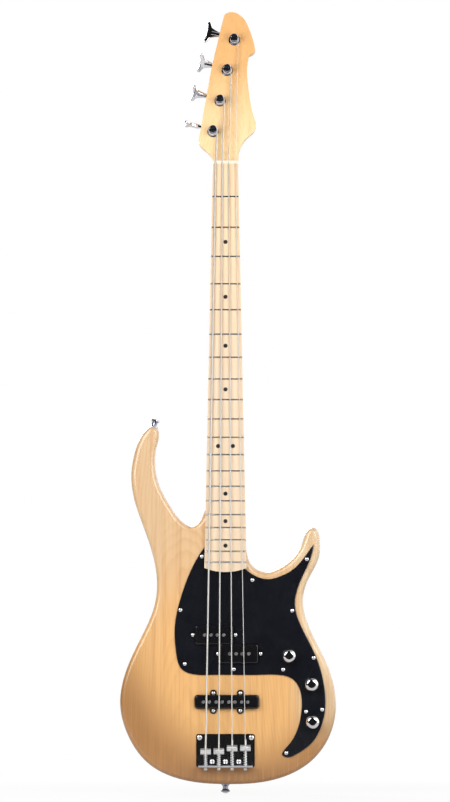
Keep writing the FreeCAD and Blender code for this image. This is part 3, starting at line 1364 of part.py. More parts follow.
def make_pickguard():
    guard = new_body("pickguard")
    outline = new_sketch(guard, "XZ_Plane", "guard_outline", "body_thick / 2")
    edge, horn = places_of("guard_edge"), places_of("guard_horn")
    add_curves(outline, spans_of(spline(edge), 8) + [spline(horn)])
    outline.addGeometry(Part.LineSegment(Vector(*horn[-1], 0), Vector(*edge[0], 0)), False)
    plate = pad(guard, outline, "guard_thick")
    rim = -(face + size.guard_thick)
    chamfer(guard, plate, "guard_bevel", lambda edge: edge.BoundBox.YMax < rim + 1e-6
            and edge.Curve.TypeId != "Part::GeomLine")
    top = "body_thick / 2 + guard_thick"
    heel = new_sketch(guard, "XZ_Plane", "guard_heel", top)
    add_curves(heel, heel_plan(size.guard_heel_gap, heel_end + size.heel_length))
    pocket(guard, heel, "guard_thick")
    gap = size.guard_cover_gap
    for i, (x, z) in enumerate(split_spots):
        half, tall = size.split_length / 2 + gap, size.split_width / 2 + gap
        hole = new_sketch(guard, "XZ_Plane", f"guard_split_{i}", top)
        add_curves(hole, rounded(x - half, z - tall, x + half, z + tall, size.split_corner + gap))
        pocket(guard, hole, "guard_thick")
    for i, (ear_x, ear_z) in enumerate(split_ears):
        hole = new_sketch(guard, "XZ_Plane", f"guard_ear_{i}", top)
        toward = split_spots[i // 2][0] + (ear_x - split_spots[i // 2][0]) * 0.5
        add_curves(hole, capsule((ear_x, ear_z), (toward, ear_z), size.split_ear_radius + gap))
        pocket(guard, hole, "guard_thick")
    for name, spots, radius in (
            ("guard_screw_holes", places_of("guard_screw"), "guard_screw_radius + screw_fit"),
            ("guard_pot_holes", knob_spots, "pot_bush_radius + screw_fit")):
        holes = new_sketch(guard, "XZ_Plane", name, top)
        add_circles(holes, spots, radius)
        pocket(guard, holes, "guard_thick")
    keep("pickguard", guard)
    screw = wood_screw("guard_screw", "guard_screw_radius", "guard_screw_length")
    keep("pickguard_screws", copies("pickguard_screws", screw, [
        aim(front(x, z, face + size.guard_thick), forward) for x, z in places_of("guard_screw")]))


def make_cover(name, spot, length, width, corner, ears, ear_radius, poles):
    """Pickup cover: a hollow shell open at the back, with screw ears at the level of the guard."""
    x, z = spot
    cover = new_body(name)
    low, high = "body_thick / 2 - cover_drop", "body_thick / 2 + cover_rise"
    plan = new_sketch(cover, "XZ_Plane", name + "_plan", low)
    add_curves(plan, rounded(x - length / 2, z - width / 2, x + length / 2, z + width / 2, corner))
    block = pad(cover, plan, "cover_drop + cover_rise")
    top = -(face + size.cover_rise)
    fillet(cover, block, "cover_round", lambda edge: edge.BoundBox.YMax < top + 1e-6)
    for i, (ear_x, ear_z) in enumerate(ears):
        ear = new_sketch(cover, "XZ_Plane", f"{name}_ear_{i}", "body_thick / 2")
        toward = (x + (ear_x - x) * 0.5, z) if width > 25 else (ear_x, z + (ear_z - z) * 0.4)
        add_curves(ear, capsule((ear_x, ear_z), toward, value(ear_radius)))
        pad(cover, ear, "split_ear_thick")
    hollow = new_sketch(cover, "XZ_Plane", name + "_hollow", high + " - cover_wall")
    wall = size.cover_wall
    add_curves(hollow, rounded(x - length / 2 + wall, z - width / 2 + wall, x + length / 2 - wall,
                               z + width / 2 - wall, corner - wall))
    pocket(cover, hollow, "cover_drop + cover_rise")
    holes = new_sketch(cover, "XZ_Plane", name + "_poles", high)
    add_circles(holes, poles, "pole_radius + pole_fit")
    pocket(cover, holes, "cover_wall * 2")
    holes = new_sketch(cover, "XZ_Plane", name + "_screw_holes", "body_thick / 2 + split_ear_thick")
    add_circles(holes, ears, "pickup_screw_radius + screw_fit")
    pocket(cover, holes, "split_ear_thick + 1")

    coil = new_body(name + "_coil")
    inset = wall + size.coil_gap
    plan = new_sketch(coil, "XZ_Plane", name + "_coil_plan", low)
    add_curves(plan, rounded(x - length / 2 + inset, z - width / 2 + inset, x + length / 2 - inset,
                             z + width / 2 - inset, min(corner, width / 2 - inset - 1)))
    pad(coil, plan, "cover_drop + cover_rise - cover_wall - coil_top_gap")
    holes = new_sketch(coil, "XZ_Plane", name + "_coil_holes", high)
    add_circles(holes, poles, "pole_radius + pole_fit")
    pocket(coil, holes, "cover_drop + cover_rise + 1")
    return cover, coil


def make_pickups():
    covers, coils, poles = [], [], []
    for i, (x, z) in enumerate(split_spots):
        row_poles = [(x + (k - 1.5) * size.split_pole_pitch, z) for k in range(4)]
        cover, coil = make_cover(f"split_cover_{i}", (x, z), size.split_length, size.split_width, size.split_corner,
                                 split_ears[2 * i:2 * i + 2], "split_ear_radius", row_poles)
        covers.append(cover)
        coils.append(coil)
        poles += row_poles
    keep("split_pickup_covers", group("split_pickup_covers", covers))
    x, z = bridge_spot
    share = (z - size.tail_to_scale) / size.scale_length
    row_poles = [(saddle_x[k] + (nut_x[k] - saddle_x[k]) * share + side * size.bridge_pole_half_pitch, z)
                 for k in range(4) for side in (-1, 1)]
    cover, coil = make_cover("bridge_cover", bridge_spot, size.bridge_pickup_length, size.bridge_pickup_width,
                             size.bridge_pickup_corner, bridge_ears, "bridge_ear_radius", row_poles)
    keep("bridge_pickup_cover", cover)
    keep("pickup_coils", group("pickup_coils", coils + [coil]))
    magnet = turned("pole_piece", [
        ("0", "-cover_drop"), ("pole_radius", "-cover_drop"), ("pole_radius", "cover_rise + pole_rise - 0.3"),
        ("pole_radius - 0.3", "cover_rise + pole_rise"), ("0", "cover_rise + pole_rise")])
    keep("pole_pieces", copies("pole_pieces", magnet, [
        aim(front(across, up, face), forward) for across, up in poles + row_poles]))
    screw = wood_screw("pickup_screw", "pickup_screw_radius",
                       "(split_ear_thick + pickup_cavity_depth + pickup_screw_grip)", 1.9)
    keep("pickup_screws", copies("pickup_screws", screw, [
        aim(front(across, up, face + size.split_ear_thick), forward) for across, up in split_ears + bridge_ears]))


def make_controls():
    pot = turned("pot_can", [
        ("0", "-pot_depth"), ("pot_radius", "-pot_depth"), ("pot_radius", "-pot_top_gap"),
        ("pot_bush_radius", "-pot_top_gap"), ("pot_bush_radius", "guard_thick + pot_bush_rise"),
        ("pot_shaft_radius + pot_shaft_fit", "guard_thick + pot_bush_rise"),
        ("pot_shaft_radius + pot_shaft_fit", "-pot_depth + 1.6"), ("0", "-pot_depth + 1.6")])
    blank = doc.addObject("Part::Prism", "pot_nut_blank")
    blank.Polygon = 6
    bind(blank, "Circumradius", "pot_nut_width / 1.732")
    bind(blank, "Height", "pot_nut_thick")
    nut_place = Placement(Vector(0, 0, size.guard_thick), Rotation())
    blank.Placement = nut_place
    hole = cylinder("pot_nut_hole", "pot_bush_radius + 0.04", "pot_nut_thick + 2",
                    Placement(Vector(0, 0, size.guard_thick - 1), Rotation()))
    nut = cut("pot_nut", blank, [hole])
    spots = [aim(front(x, z, face), forward) for x, z in knob_spots]
    keep("potentiometers", copies("potentiometers", group("pot_and_nut", [pot, nut]), spots))

    floor = "guard_thick + knob_gap"
    ceiling = f"{floor} + knob_recess_depth + knob_bore_depth"
    shaft = turned("pot_shaft", [
        ("0", "-pot_depth + 2"), ("pot_shaft_radius", "-pot_depth + 2"),
        ("pot_shaft_radius", ceiling + " - 0.4"), ("0", ceiling + " - 0.4")])
    knob = turned("knob", [
        ("knob_recess_radius", floor), ("knob_radius", floor), ("knob_radius", floor + " + knob_height"),
        ("0", floor + " + knob_height"), ("0", ceiling), ("pot_shaft_radius + knob_fit", ceiling),
        ("pot_shaft_radius + knob_fit", floor + " + knob_recess_depth"),
        ("knob_recess_radius", floor + " + knob_recess_depth")])
    doc.recompute()
    crown = size.guard_thick + size.knob_gap + size.knob_height
    fillet(knob, knob.Tip, "knob_round", lambda edge: edge.BoundBox.ZMin > crown - 1e-6)
    doc.recompute()
    for i, name in enumerate(("split_volume", "bridge_volume", "tone")):
        keep(name + "_shaft", placed(name + "_shaft", shaft, spots[i]))
        keep(name + "_knob", placed(name + "_knob", knob, spots[i]))


def make_hardware():
    button = turned("strap_button", [
        ("strap_hole_radius", "0"), ("strap_seat_radius", "0"), ("strap_seat_radius", "1.2"),
        ("strap_waist_radius", "strap_length * 0.3"), ("strap_waist_radius", "strap_length * 0.62"),
        ("strap_head_radius", "strap_length - 2"), ("strap_head_radius - 0.6", "strap_length"),
        ("strap_hole_radius", "strap_length")])
    keep("strap_buttons", copies("strap_buttons", button, strap_places))
    screw = wood_screw("strap_screw", "strap_screw_radius", "strap_screw_length")
    keep("strap_screws", copies("strap_screws", screw, [
        place.multiply(Placement(Vector(0, 0, size.strap_length), Rotation())) for place in strap_places]))

    plate = new_body("neck_plate")
    plan = new_sketch(plate, "XZ_Plane", "plate_plan", "-body_thick / 2")
    half, tall = size.plate_width / 2, size.plate_length / 2
    add_curves(plan, rounded(-half, size.plate_z - tall, half, size.plate_z + tall, size.plate_corner))
    pad(plate, plan, "plate_thick", reverse=True)
    holes = new_sketch(plate, "XZ_Plane", "plate_holes", "-body_thick / 2")
    add_circles(holes, plate_holes, "neck_screw_radius + screw_fit")
    pocket(plate, holes, "plate_thick")
    keep("neck_plate", plate)
    screw = wood_screw("neck_screw", "neck_screw_radius",
                       "(plate_thick + body_thick + board_rise - heel_thick + neck_screw_grip)")
    keep("neck_screws", copies("neck_screws", screw, [
        aim(front(x, z, -face - size.plate_thick), backward) for x, z in plate_holes]))

    seat = size.jack_plate_seat
    under = -seat + size.jack_plate_thick
    socket = turned("jack_socket", [
        ("jack_bore", f"{under} + jack_nose"), ("jack_thread_radius", f"{under} + jack_nose"),
        ("jack_thread_radius", "-jack_plate_seat - jack_case_drop"),
        ("jack_case_radius", "-jack_plate_seat - jack_case_drop"),
        ("jack_case_radius", "-jack_plate_seat - jack_depth"), ("0", "-jack_plate_seat - jack_depth"),
        ("0", "-jack_plate_seat - jack_depth + 2"), ("jack_bore", "-jack_plate_seat - jack_depth + 2")])
    ring = turned("jack_nut", [
        ("jack_thread_radius + 0.04", f"{under}"), ("jack_nut_radius", f"{under}"),
        ("jack_nut_radius", f"{under} + jack_nut_thick"),
        ("jack_thread_radius + 0.04", f"{under} + jack_nut_thick")])
    jack = group("jack_and_nut", [socket, ring])
    keep("output_jack", copies("output_jack", jack, [jack_place]))
    cover = new_body("jack_plate_blank")
    plan = new_sketch(cover, "XY_Plane", "jack_plate_plan")
    plan.AttachmentOffset = Placement(Vector(0, 0, -seat), Rotation())
    half, tall = size.jack_plate_length / 2, size.jack_plate_width / 2
    add_curves(plan, rounded(-half, -tall, half, tall, tall))
    pad(cover, plan, "jack_plate_thick")
    holes = new_sketch(cover, "XY_Plane", "jack_plate_holes")
    add_circles(holes, [(-size.jack_screw_spread, 0), (size.jack_screw_spread, 0)], "jack_screw_radius + screw_fit")
    pocket(cover, holes, "jack_plate_seat + 1")
    hole = new_sketch(cover, "XY_Plane", "jack_plate_mouth")
    add_circles(hole, [(0, 0)], "jack_thread_radius + screw_fit")
    pocket(cover, hole, "jack_plate_seat + 1")
    doc.recompute()
    keep("jack_plate", placed("jack_plate", cover, jack_place))
    screw = wood_screw("jack_screw", "jack_screw_radius", "jack_screw_length")
    keep("jack_screws", copies("jack_screws", screw, [
        jack_place.multiply(Placement(Vector(i * size.jack_screw_spread, 0, under), Rotation())) for i in (-1, 1)]))


make_body()
make_neck()
make_fingerboard()
make_nut([make_string(k) for k in range(4)])
make_bridge()
make_tuners()
make_pickguard()
make_pickups()
make_controls()
make_hardware()
doc.recompute()

faults = []
for thing in doc.Objects:
    if {"Invalid", "Error"} & set(thing.State):
        faults.append(f"{thing.Name} {thing.State}")
for label, thing in nodes.items():
    if thing.Shape.isNull() or not thing.Shape.isValid() or not thing.Shape.Solids:
        faults.append(f"{label} has no valid solid")
if faults:
    raise RuntimeError("; ".join(faults))

os.makedirs("parts", exist_ok=True)
for label, thing in nodes.items():
    thing.Shape.exportStep(f"parts/{label}.step")
print(len(nodes), "sub-parts written")
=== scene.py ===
import json
import math

import bmesh
import bpy
import numpy as np
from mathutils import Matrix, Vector


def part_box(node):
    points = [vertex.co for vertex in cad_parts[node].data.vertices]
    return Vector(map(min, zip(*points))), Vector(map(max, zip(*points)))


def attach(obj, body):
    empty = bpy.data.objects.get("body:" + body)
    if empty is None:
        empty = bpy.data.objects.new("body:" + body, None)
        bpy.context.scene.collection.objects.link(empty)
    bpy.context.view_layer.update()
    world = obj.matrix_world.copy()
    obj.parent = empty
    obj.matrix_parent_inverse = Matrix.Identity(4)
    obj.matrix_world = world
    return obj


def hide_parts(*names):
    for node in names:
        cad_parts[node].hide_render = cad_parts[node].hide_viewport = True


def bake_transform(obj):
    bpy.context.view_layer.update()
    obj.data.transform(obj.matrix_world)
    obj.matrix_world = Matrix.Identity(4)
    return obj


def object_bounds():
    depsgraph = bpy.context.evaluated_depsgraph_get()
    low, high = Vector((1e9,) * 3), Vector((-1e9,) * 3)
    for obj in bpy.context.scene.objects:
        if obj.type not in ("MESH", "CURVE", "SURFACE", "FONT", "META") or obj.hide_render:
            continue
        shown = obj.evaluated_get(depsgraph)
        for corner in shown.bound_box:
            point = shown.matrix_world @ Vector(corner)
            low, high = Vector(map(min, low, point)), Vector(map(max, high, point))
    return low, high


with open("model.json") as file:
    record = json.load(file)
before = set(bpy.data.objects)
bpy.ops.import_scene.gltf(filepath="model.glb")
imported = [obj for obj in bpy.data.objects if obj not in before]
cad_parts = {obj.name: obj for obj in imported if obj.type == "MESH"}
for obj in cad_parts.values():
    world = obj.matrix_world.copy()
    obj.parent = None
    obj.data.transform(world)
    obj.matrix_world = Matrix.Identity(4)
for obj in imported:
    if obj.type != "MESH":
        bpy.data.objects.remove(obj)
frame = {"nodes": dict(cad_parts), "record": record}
nodes = frame["nodes"]
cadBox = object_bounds()
scene = bpy.context.scene
scene.view_settings.view_transform = "Standard"

perMetre = 1000.0        # lengths are in millimetres here, except on the stage
fullTurn = 2 * math.pi


# Shader nodes

class Sock:
    # a socket; arithmetic on it adds Math nodes
    def __init__(self, socket):
        self.socket = socket

    def make(self, kind, settings=None, inputs=None, out=0):
        # any node: its type, its settings first, then the values or links of its sockets
        tree = self.socket.id_data
        node = tree.nodes.new("ShaderNode" + kind)
        for key, setting in (settings or {}).items():
            setattr(node, key, setting)
        for key, given in (inputs or {}).items():
            if isinstance(given, Sock):
                tree.links.new(given.socket, node.inputs[key])
            else:
                node.inputs[key].default_value = given
        return Sock(node.outputs[out]) if node.outputs else None

    def other(self, name):
        # another output of the same node
        return Sock(self.socket.node.outputs[name])

    def math(self, operation, first, second=0.0, third=0.0):
        return self.make("Math", {"operation": operation}, {0: first, 1: second, 2: third})

    def __add__(self, more):
        return self.math("ADD", self, more)

    def __radd__(self, more):
        return self.math("ADD", more, self)

    def __sub__(self, less):
        return self.math("SUBTRACT", self, less)

    def __rsub__(self, more):
        return self.math("SUBTRACT", more, self)

    def __mul__(self, times):
        return self.math("MULTIPLY", self, times)

    def __rmul__(self, times):
        return self.math("MULTIPLY", times, self)

    def __truediv__(self, parts):
        return self.math("DIVIDE", self, parts)

    def __rtruediv__(self, whole):
        return self.math("DIVIDE", whole, self)

    def step(self, low, high, bottom=0.0, top=1.0):
        # smooth rise from bottom to top between low and high
        return self.make("MapRange", {"interpolation_type": "SMOOTHSTEP"},
                         {0: self, 1: low, 2: high, 3: bottom, 4: top})

    def blend(self, first, second):
        # two colours mixed by this value; 6, 7 and output 2 are the node's colour sockets
        sides = [(*side, 1.0) if isinstance(side, tuple) else side for side in (first, second)]
        return self.make("Mix", {"data_type": "RGBA"}, {0: self, 6: sides[0], 7: sides[1]}, out=2)


def newShade(name):
    # empty material and its Object coordinates in metres
    material = bpy.data.materials.new(name)
    material.use_nodes = True
    tree = material.node_tree
    tree.nodes.clear()
    return material, Sock(tree.nodes.new("ShaderNodeTexCoord").outputs["Object"])


def millimetres(at):
    # x, y and z of the coordinates, in millimetres
    spread = at.make("Mapping", {}, {"Vector": at, "Scale": (perMetre,) * 3})
    x = at.make("SeparateXYZ", {}, {"Vector": spread})
    return x, x.other("Y"), x.other("Z")


def noise(at, scale, detail=2.0, rough=0.5, warp=0.0):
    # noise on coordinates stretched by scale, in waves for each metre
    spread = at.make("Mapping", {}, {"Vector": at, "Scale": scale})
    return at.make("TexNoise", {}, {"Vector": spread, "Scale": 1.0, "Detail": detail,
                                    "Roughness": rough, "Distortion": warp})


def close(material, at, sockets, height, strength, reach):
    # principled surface with a bump, whose reach is in metres
    bump = {"Strength": strength, "Distance": reach, "Height": height}
    sockets["Normal"] = at.make("Bump", {}, bump)
    shader = at.make("BsdfPrincipled", {}, sockets)
    shader.make("OutputMaterial", {}, {"Surface": shader})
    return material


# Wood: rings are distances from a wandering pith, cut by whatever face shows them.
# A seam is where it stands, how much darker the next board is, and how far its rings shift.
# On the body, painted shade darkens the lower rim and the foot, and a painted reflection makes the
# treble side pale in front.
woods = {
    "bodyWood": {
        "pale": (0.655, 0.455, 0.262), "mid": (0.785, 0.440, 0.160), "dark": (0.50, 0.235, 0.075),
        "seams": [(-95, 0.26, 61), (-14, -0.18, -48), (83, 0.14, 75)],
        "pith": 96, "tilt": 0.09, "ring": 3.4, "wander": 34,
        # the body's gradient from pale above to mid below is a painted sheen above and painted shade
        # below
        "lines": 0.22, "streaks": 0.34, "fibre": 0.18, "warmthAndShade": (400, 130),
        "rough": 0.36, "coat": 0.9, "gloss": 0.15,
        # the rim's colours are painted shade round the lower rim and at the foot, and a painted
        # reflection on the treble side
        "rim": {"deep": (0.32, 0.145, 0.040), "deepShare": 0.95, "middle": (25, 230), "squash": 1.25,
                "out": (115, 190), "below": (330, 110), "wave": 26,
                "foot": (0.15, 0.065, 0.018), "footShare": 0.4, "footLevel": (40, 2),
                "glow": (0.73, 0.59, 0.39), "paintedSheenShare": 0.66, "glowSide": (88, 122),
                "glowFront": (2, -14), "glowFrom": (45, 125), "glowTo": (440, 330)}},
    "neckWood": {
        "pale": (0.995, 0.715, 0.385), "mid": (0.835, 0.445, 0.156), "dark": (0.58, 0.29, 0.098),
        "seams": [], "pith": 46, "tilt": 0.02, "ring": 2.6, "wander": 18,
        "lines": 0.12, "streaks": 0.18, "fibre": 0.16, "warmthAndShade": (935, 1115),
        "rough": 0.38, "coat": 0.45, "gloss": 0.07},
    "boardWood": {
        "pale": (0.775, 0.605, 0.432), "mid": (0.875, 0.62, 0.378), "dark": (0.58, 0.395, 0.230),
        "seams": [], "pith": 58, "tilt": 0.035, "ring": 2.4, "wander": 20,
        "lines": 0.12, "streaks": 0.20, "fibre": 0.18, "warmthAndShade": (500, 1000),
        "rough": 0.40, "coat": 0.35, "gloss": 0.07},
}
# waves for each metre across the grain, through it and along it, then the noise's detail and roughness
grain = {"wander": ((6, 6, 2.6), 2.0, 0.5), "lean": ((2, 2, 4.4), 1.0, 0.5),
         "ripple": ((60, 60, 9), 3.0, 0.5), "cloud": ((14, 14, 5), 3.0, 0.5),
         "streaks": ((210, 210, 3.2), 3.0, 0.55), "fibre": ((900, 900, 14), 4.0, 0.6),
         "pores": ((1500, 1500, 42), 2.0, 0.5)}
# levels between which each mark comes up
woodMarks = {"late": (0.25, 0.90), "lateEnd": (1.0, 0.90), "latePatch": (0.30, 0.70, 0.25, 1.0),
             "streaks": (0.44, 0.72), "fibre": (0.42, 0.75), "pores": (0.68, 0.80)}


def paintedRimShadeAndSheen(base, rim, x, y, z, wander):
    # painted shade: the distance from the body's middle, squashed along z, deepens the colour towards
    # the lower rim, and darkens the foot; a painted reflection makes the treble side paler in front
    aside = x - rim["middle"][0]
    down = (z - rim["middle"][1]) / rim["squash"]
    out = x.math("SQRT", aside * aside + down * down) + wander * rim["wave"]
    edge = out.step(*rim["out"]) * z.step(*rim["below"])
    # painted shade, darker towards the lower rim
    base = (edge * rim["deepShare"]).blend(base, rim["deep"])
    # painted shade, darker at the body's foot
    base = (z.step(*rim["footLevel"]) * rim["footShare"]).blend(base, rim["foot"])
    # painted reflection, paler on the treble side in front
    front = x.step(*rim["glowSide"]) * y.step(*rim["glowFront"])
    front = front * z.step(*rim["glowFrom"]) * z.step(*rim["glowTo"])
    return (front * rim["paintedSheenShare"]).blend(base, rim["glow"])


def woodShade(name, look):
    # late wood darkens the end of each ring, over clouds, streaks, fibres and pores
    material, at = newShade(name)
    x, y, z = millimetres(at)
    wander = noise(at, *grain["wander"]) - 0.5
    lean = noise(at, *grain["lean"]) - 0.5
    tone = lean * 0.5
    across = x + wander * look["wander"]
    for seam, darker, shift in look["seams"]:        # boards glued side by side
        side = x.math("GREATER_THAN", x, seam)
        tone = tone + side * darker
        across = across + side * shift
    depth = y + z * look["tilt"] + lean * look["wander"] + look["pith"]
    rings = x.math("SQRT", across * across + depth * depth) / look["ring"]
    phase = x.math("FRACT", rings + noise(at, *grain["ripple"]) * 1.6)
    cloud = noise(at, *grain["cloud"])
    late = phase.step(*woodMarks["late"]) * phase.step(*woodMarks["lateEnd"])
    late = late * cloud.step(*woodMarks["latePatch"])
    streaks = noise(at, *grain["streaks"]).step(*woodMarks["streaks"])
    fibre = noise(at, *grain["fibre"])
    pores = noise(at, *grain["pores"]).step(*woodMarks["pores"])
    warmthAndShade = z.step(*look["warmthAndShade"])        # darker and warmer towards one end: on the body this is painted shade below and a painted sheen above, on the neck and board a warmer tone
    base = (cloud * 0.3 + tone * 0.5 + warmthAndShade * 0.8).step(0.0, 1.05).blend(look["pale"], look["mid"])
    if "rim" in look:
        base = paintedRimShadeAndSheen(base, look["rim"], x, y, z, wander)
    lines = late * look["lines"] + streaks * look["streaks"]
    lines = lines + fibre.step(*woodMarks["fibre"]) * look["fibre"]
    colour = (pores * 0.22).blend(lines.blend(base, look["dark"]), look["dark"])
    sockets = {"Base Color": colour, "Roughness": look["rough"] + fibre * 0.12,
               "Coat Weight": look["coat"] + cloud * 0.1, "Coat Roughness": look["gloss"]}
    return close(material, at, sockets, fibre - pores * 0.6, 0.10, 0.0001)


# Plastics: fine hazing in the roughness and a faint moulded skin
plastics = {
    "guardPlastic": {"colour": (0.004, 0.0045, 0.007), "lift": (0.010, 0.011, 0.016),
                     "rough": 0.13, "haze": 0.12, "skin": 260, "bump": 0.03},
    "coverPlastic": {"colour": (0.004, 0.004, 0.005), "lift": (0.008, 0.008, 0.010),
                     "rough": 0.13, "haze": 0.10, "skin": 1800, "bump": 0.03},
    "dotPlastic": {"colour": (0.010, 0.010, 0.010), "lift": (0.02, 0.02, 0.02),
                   "rough": 0.25, "haze": 0.1, "skin": 900, "bump": 0.05},
    "nutBone": {"colour": (0.74, 0.66, 0.52), "lift": (0.82, 0.77, 0.66),
                "rough": 0.32, "haze": 0.14, "skin": 700, "bump": 0.08},
    "coilTape": {"colour": (0.018, 0.018, 0.018), "lift": (0.05, 0.05, 0.05),
                 "rough": 0.7, "haze": 0.2, "skin": 1400, "bump": 0.3},
}
# waves for each metre, with the haze's detail, roughness and warp, and where scuffs come up
handling = {"haze": ((38, 38, 26), 4.0, 0.65, 0.6), "scuffs": (420, 420, 90), "scuffed": (0.60, 0.74)}


def plasticShade(name, look):
    # haze and scuffs lift the colour and dull the gloss
    material, at = newShade(name)
    skin = noise(at, (look["skin"],) * 3, 3.0, 0.6)
    hazed = noise(at, *handling["haze"])
    scuffs = noise(at, handling["scuffs"]).step(*handling["scuffed"])
    colour = (hazed * 0.5 + scuffs * 0.3).blend(look["colour"], look["lift"])
    sockets = {"Base Color": colour, "Roughness": look["rough"] + hazed * look["haze"] + scuffs * 0.05}
    return close(material, at, sockets, skin, look["bump"], 0.00008)


# Metals: tint, polish, and the direction that the polishing marks run
metals = {
    "chrome": {"tint": (0.72, 0.72, 0.75), "worn": (0.60, 0.60, 0.63), "rough": 0.04,
               "marks": 0.05, "run": (900, 900, 120), "bump": 0.01},
    # painted shade: a darker, bluer copy of chrome for the string posts, bushings and strap buttons,
    # standing in for the dark surroundings they mirror
    "shadeDarkenedNickel": {"tint": (0.38, 0.39, 0.46), "worn": (0.28, 0.29, 0.35), "rough": 0.12,
                   "marks": 0.08, "run": (1300, 300, 1300), "bump": 0.02},
    "satinNickel": {"tint": (0.95, 0.95, 0.96), "worn": (0.80, 0.80, 0.82), "rough": 0.29,
                    "marks": 0.14, "run": (240, 1500, 1500), "bump": 0.05},
    "screwChrome": {"tint": (0.80, 0.80, 0.80), "worn": (0.60, 0.60, 0.61), "rough": 0.12,
                    "marks": 0.10, "run": (1500, 1500, 900), "bump": 0.04},
    "bareSteel": {"tint": (0.60, 0.60, 0.60), "worn": (0.44, 0.44, 0.45), "rough": 0.24,
                  "marks": 0.16, "run": (1600, 1600, 260), "bump": 0.06},
    "fretWire": {"tint": (0.62, 0.61, 0.58), "worn": (0.47, 0.46, 0.43), "rough": 0.16,
                 "marks": 0.14, "run": (240, 1600, 1600), "bump": 0.05},
}
# the bridge is dulled from the first level of y to the second, where the hand rests
metals["bridgeChrome"] = {**metals["chrome"], "rubbed": (-34.0, -38.0), "dulled": 0.30}
bloomWaves = (70, 70, 70)


def metalShade(name, look):
    # polishing marks in the roughness, and a slow bloom towards the worn tint
    material, at = newShade(name)
    marks = noise(at, look["run"], 3.0, 0.65)
    bloom = noise(at, bloomWaves, 3.0, 0.6, 0.4)
    rough = look["rough"] + marks * look["marks"] * bloom
    if "rubbed" in look:
        y = millimetres(at)[1]
        rough = rough + y.step(*look["rubbed"]) * look["dulled"]
    colour = (bloom * 0.7).blend(look["tint"], look["worn"])
    sockets = {"Base Color": colour, "Metallic": 1.0, "Roughness": rough}
    return close(material, at, sockets, marks, look["bump"], 0.00006)


# Round-wound strings: pitch of each winding, and the wire's own look
windings = {"e": 0.62, "a": 0.52, "d": 0.42, "g": 0.34}
stringWire = {"bright": (0.70, 0.685, 0.66), "worn": (0.51, 0.50, 0.47), "rough": 0.44,
              "tarnish": (30, 30, 22), "slant": 0.3, "bump": 0.5}


def stringShade(name, look, pitch):
    # the winding is a fine sine wave along the string, slanted a little across it
    material, at = newShade(name)
    x, y, z = millimetres(at)
    wave = x.math("SINE", (z + x * look["slant"]) * (fullTurn / pitch))
    tarnish = noise(at, look["tarnish"], 3.0, 0.6)
    colour = (tarnish * 0.8 + wave * 0.1).blend(look["bright"], look["worn"])
    sockets = {"Base Color": colour, "Metallic": 1.0, "Roughness": look["rough"] + tarnish * 0.14}
    return close(material, at, sockets, wave, look["bump"], 0.0001)


shades = {name: woodShade(name, look) for name, look in woods.items()}
shades.update({name: plasticShade(name, look) for name, look in plastics.items()})
shades.update({name: metalShade(name, look) for name, look in metals.items()})
for name, pitch in windings.items():
    shades["string_" + name] = stringShade("stringWire_" + name, stringWire, pitch)
print("materials:", len(shades))


# CAD nodes: a finish for each slot, and for the nodes that differ from their slot
slotShades = {"body_wood": "bodyWood", "neck_wood": "neckWood", "board_wood": "boardWood",
              "guard_plastic": "guardPlastic", "cover_plastic": "coverPlastic",
              "marker_plastic": "dotPlastic", "nut_plastic": "nutBone", "coil_tape": "coilTape",
              "fret_wire": "fretWire", "bare_steel": "bareSteel", "screw_chrome": "screwChrome",
              "chrome": "chrome"}
slotOf = {part["node"]: part["material_slot"] for part in frame["record"]["subparts"]}
nodeShades = {"bridge_plate": "bridgeChrome", "tuner_bushings": "shadeDarkenedNickel",
              "strap_buttons": "shadeDarkenedNickel"}
for name in windings:
    nodeShades["saddle_" + name] = "satinNickel"
    nodeShades["string_" + name] = "string_" + name
    nodeShades["string_post_" + name] = "shadeDarkenedNickel"
creases = {"split": 28, "weld": 2e-6}        # degrees, metres
for name, thing in nodes.items():
    shade = nodeShades.get(name) or slotShades[slotOf[name]]
    thing.data.materials.clear()
    thing.data.materials.append(shades[shade])
    thing.data.polygons.foreach_set("use_smooth", np.ones(len(thing.data.polygons), bool))
    weld = thing.modifiers.new("weld", "WELD")
    weld.merge_threshold = creases["weld"]
    split = thing.modifiers.new("creases", "EDGE_SPLIT")
    split.split_angle = math.radians(creases["split"])
    even = thing.modifiers.new("even", "WEIGHTED_NORMAL")
    even.keep_sharp = True
print("CAD nodes dressed:", len(nodes))


# New pieces

def gridFaces(rows, columns):
    # quads between neighbouring rows, with the last column joined to the first
    r = np.arange(rows - 1)[:, None] * columns
    c = np.arange(columns)[None, :]
    n = (c + 1) % columns
    return np.stack([r + c, r + n, r + columns + n, r + columns + c], -1).reshape(-1, 4)


def addPiece(name, points, faces, body, shade, sharp=32, merge=1e-7):
    mesh = bpy.data.meshes.new(name)
    mesh.from_pydata((points / perMetre).tolist(), [], faces.tolist())
    work = bmesh.new()
    work.from_mesh(mesh)
    bmesh.ops.remove_doubles(work, verts=work.verts, dist=merge)
    bmesh.ops.holes_fill(work, edges=work.edges, sides=0)
    bmesh.ops.recalc_face_normals(work, faces=work.faces)
    work.to_mesh(mesh)
    work.free()
    mesh.polygons.foreach_set("use_smooth", np.ones(len(mesh.polygons), bool))
    mesh.set_sharp_from_angle(angle=math.radians(sharp))
    mesh.materials.append(shade)
    thing = bpy.data.objects.new(name, mesh)
    scene.collection.objects.link(thing)
    if isinstance(body, str):
        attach(thing, body)
    else:
        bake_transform(thing)
    return thing


def axesFor(out):
    # two directions square to out, then out itself
    out = np.array(out, float) / np.linalg.norm(out)
    side = np.cross(out, (0, 0, 1) if abs(out[2]) < 0.9 else (1, 0, 0))
    side = side / np.linalg.norm(side)
    return np.stack([side, np.cross(out, side), out])


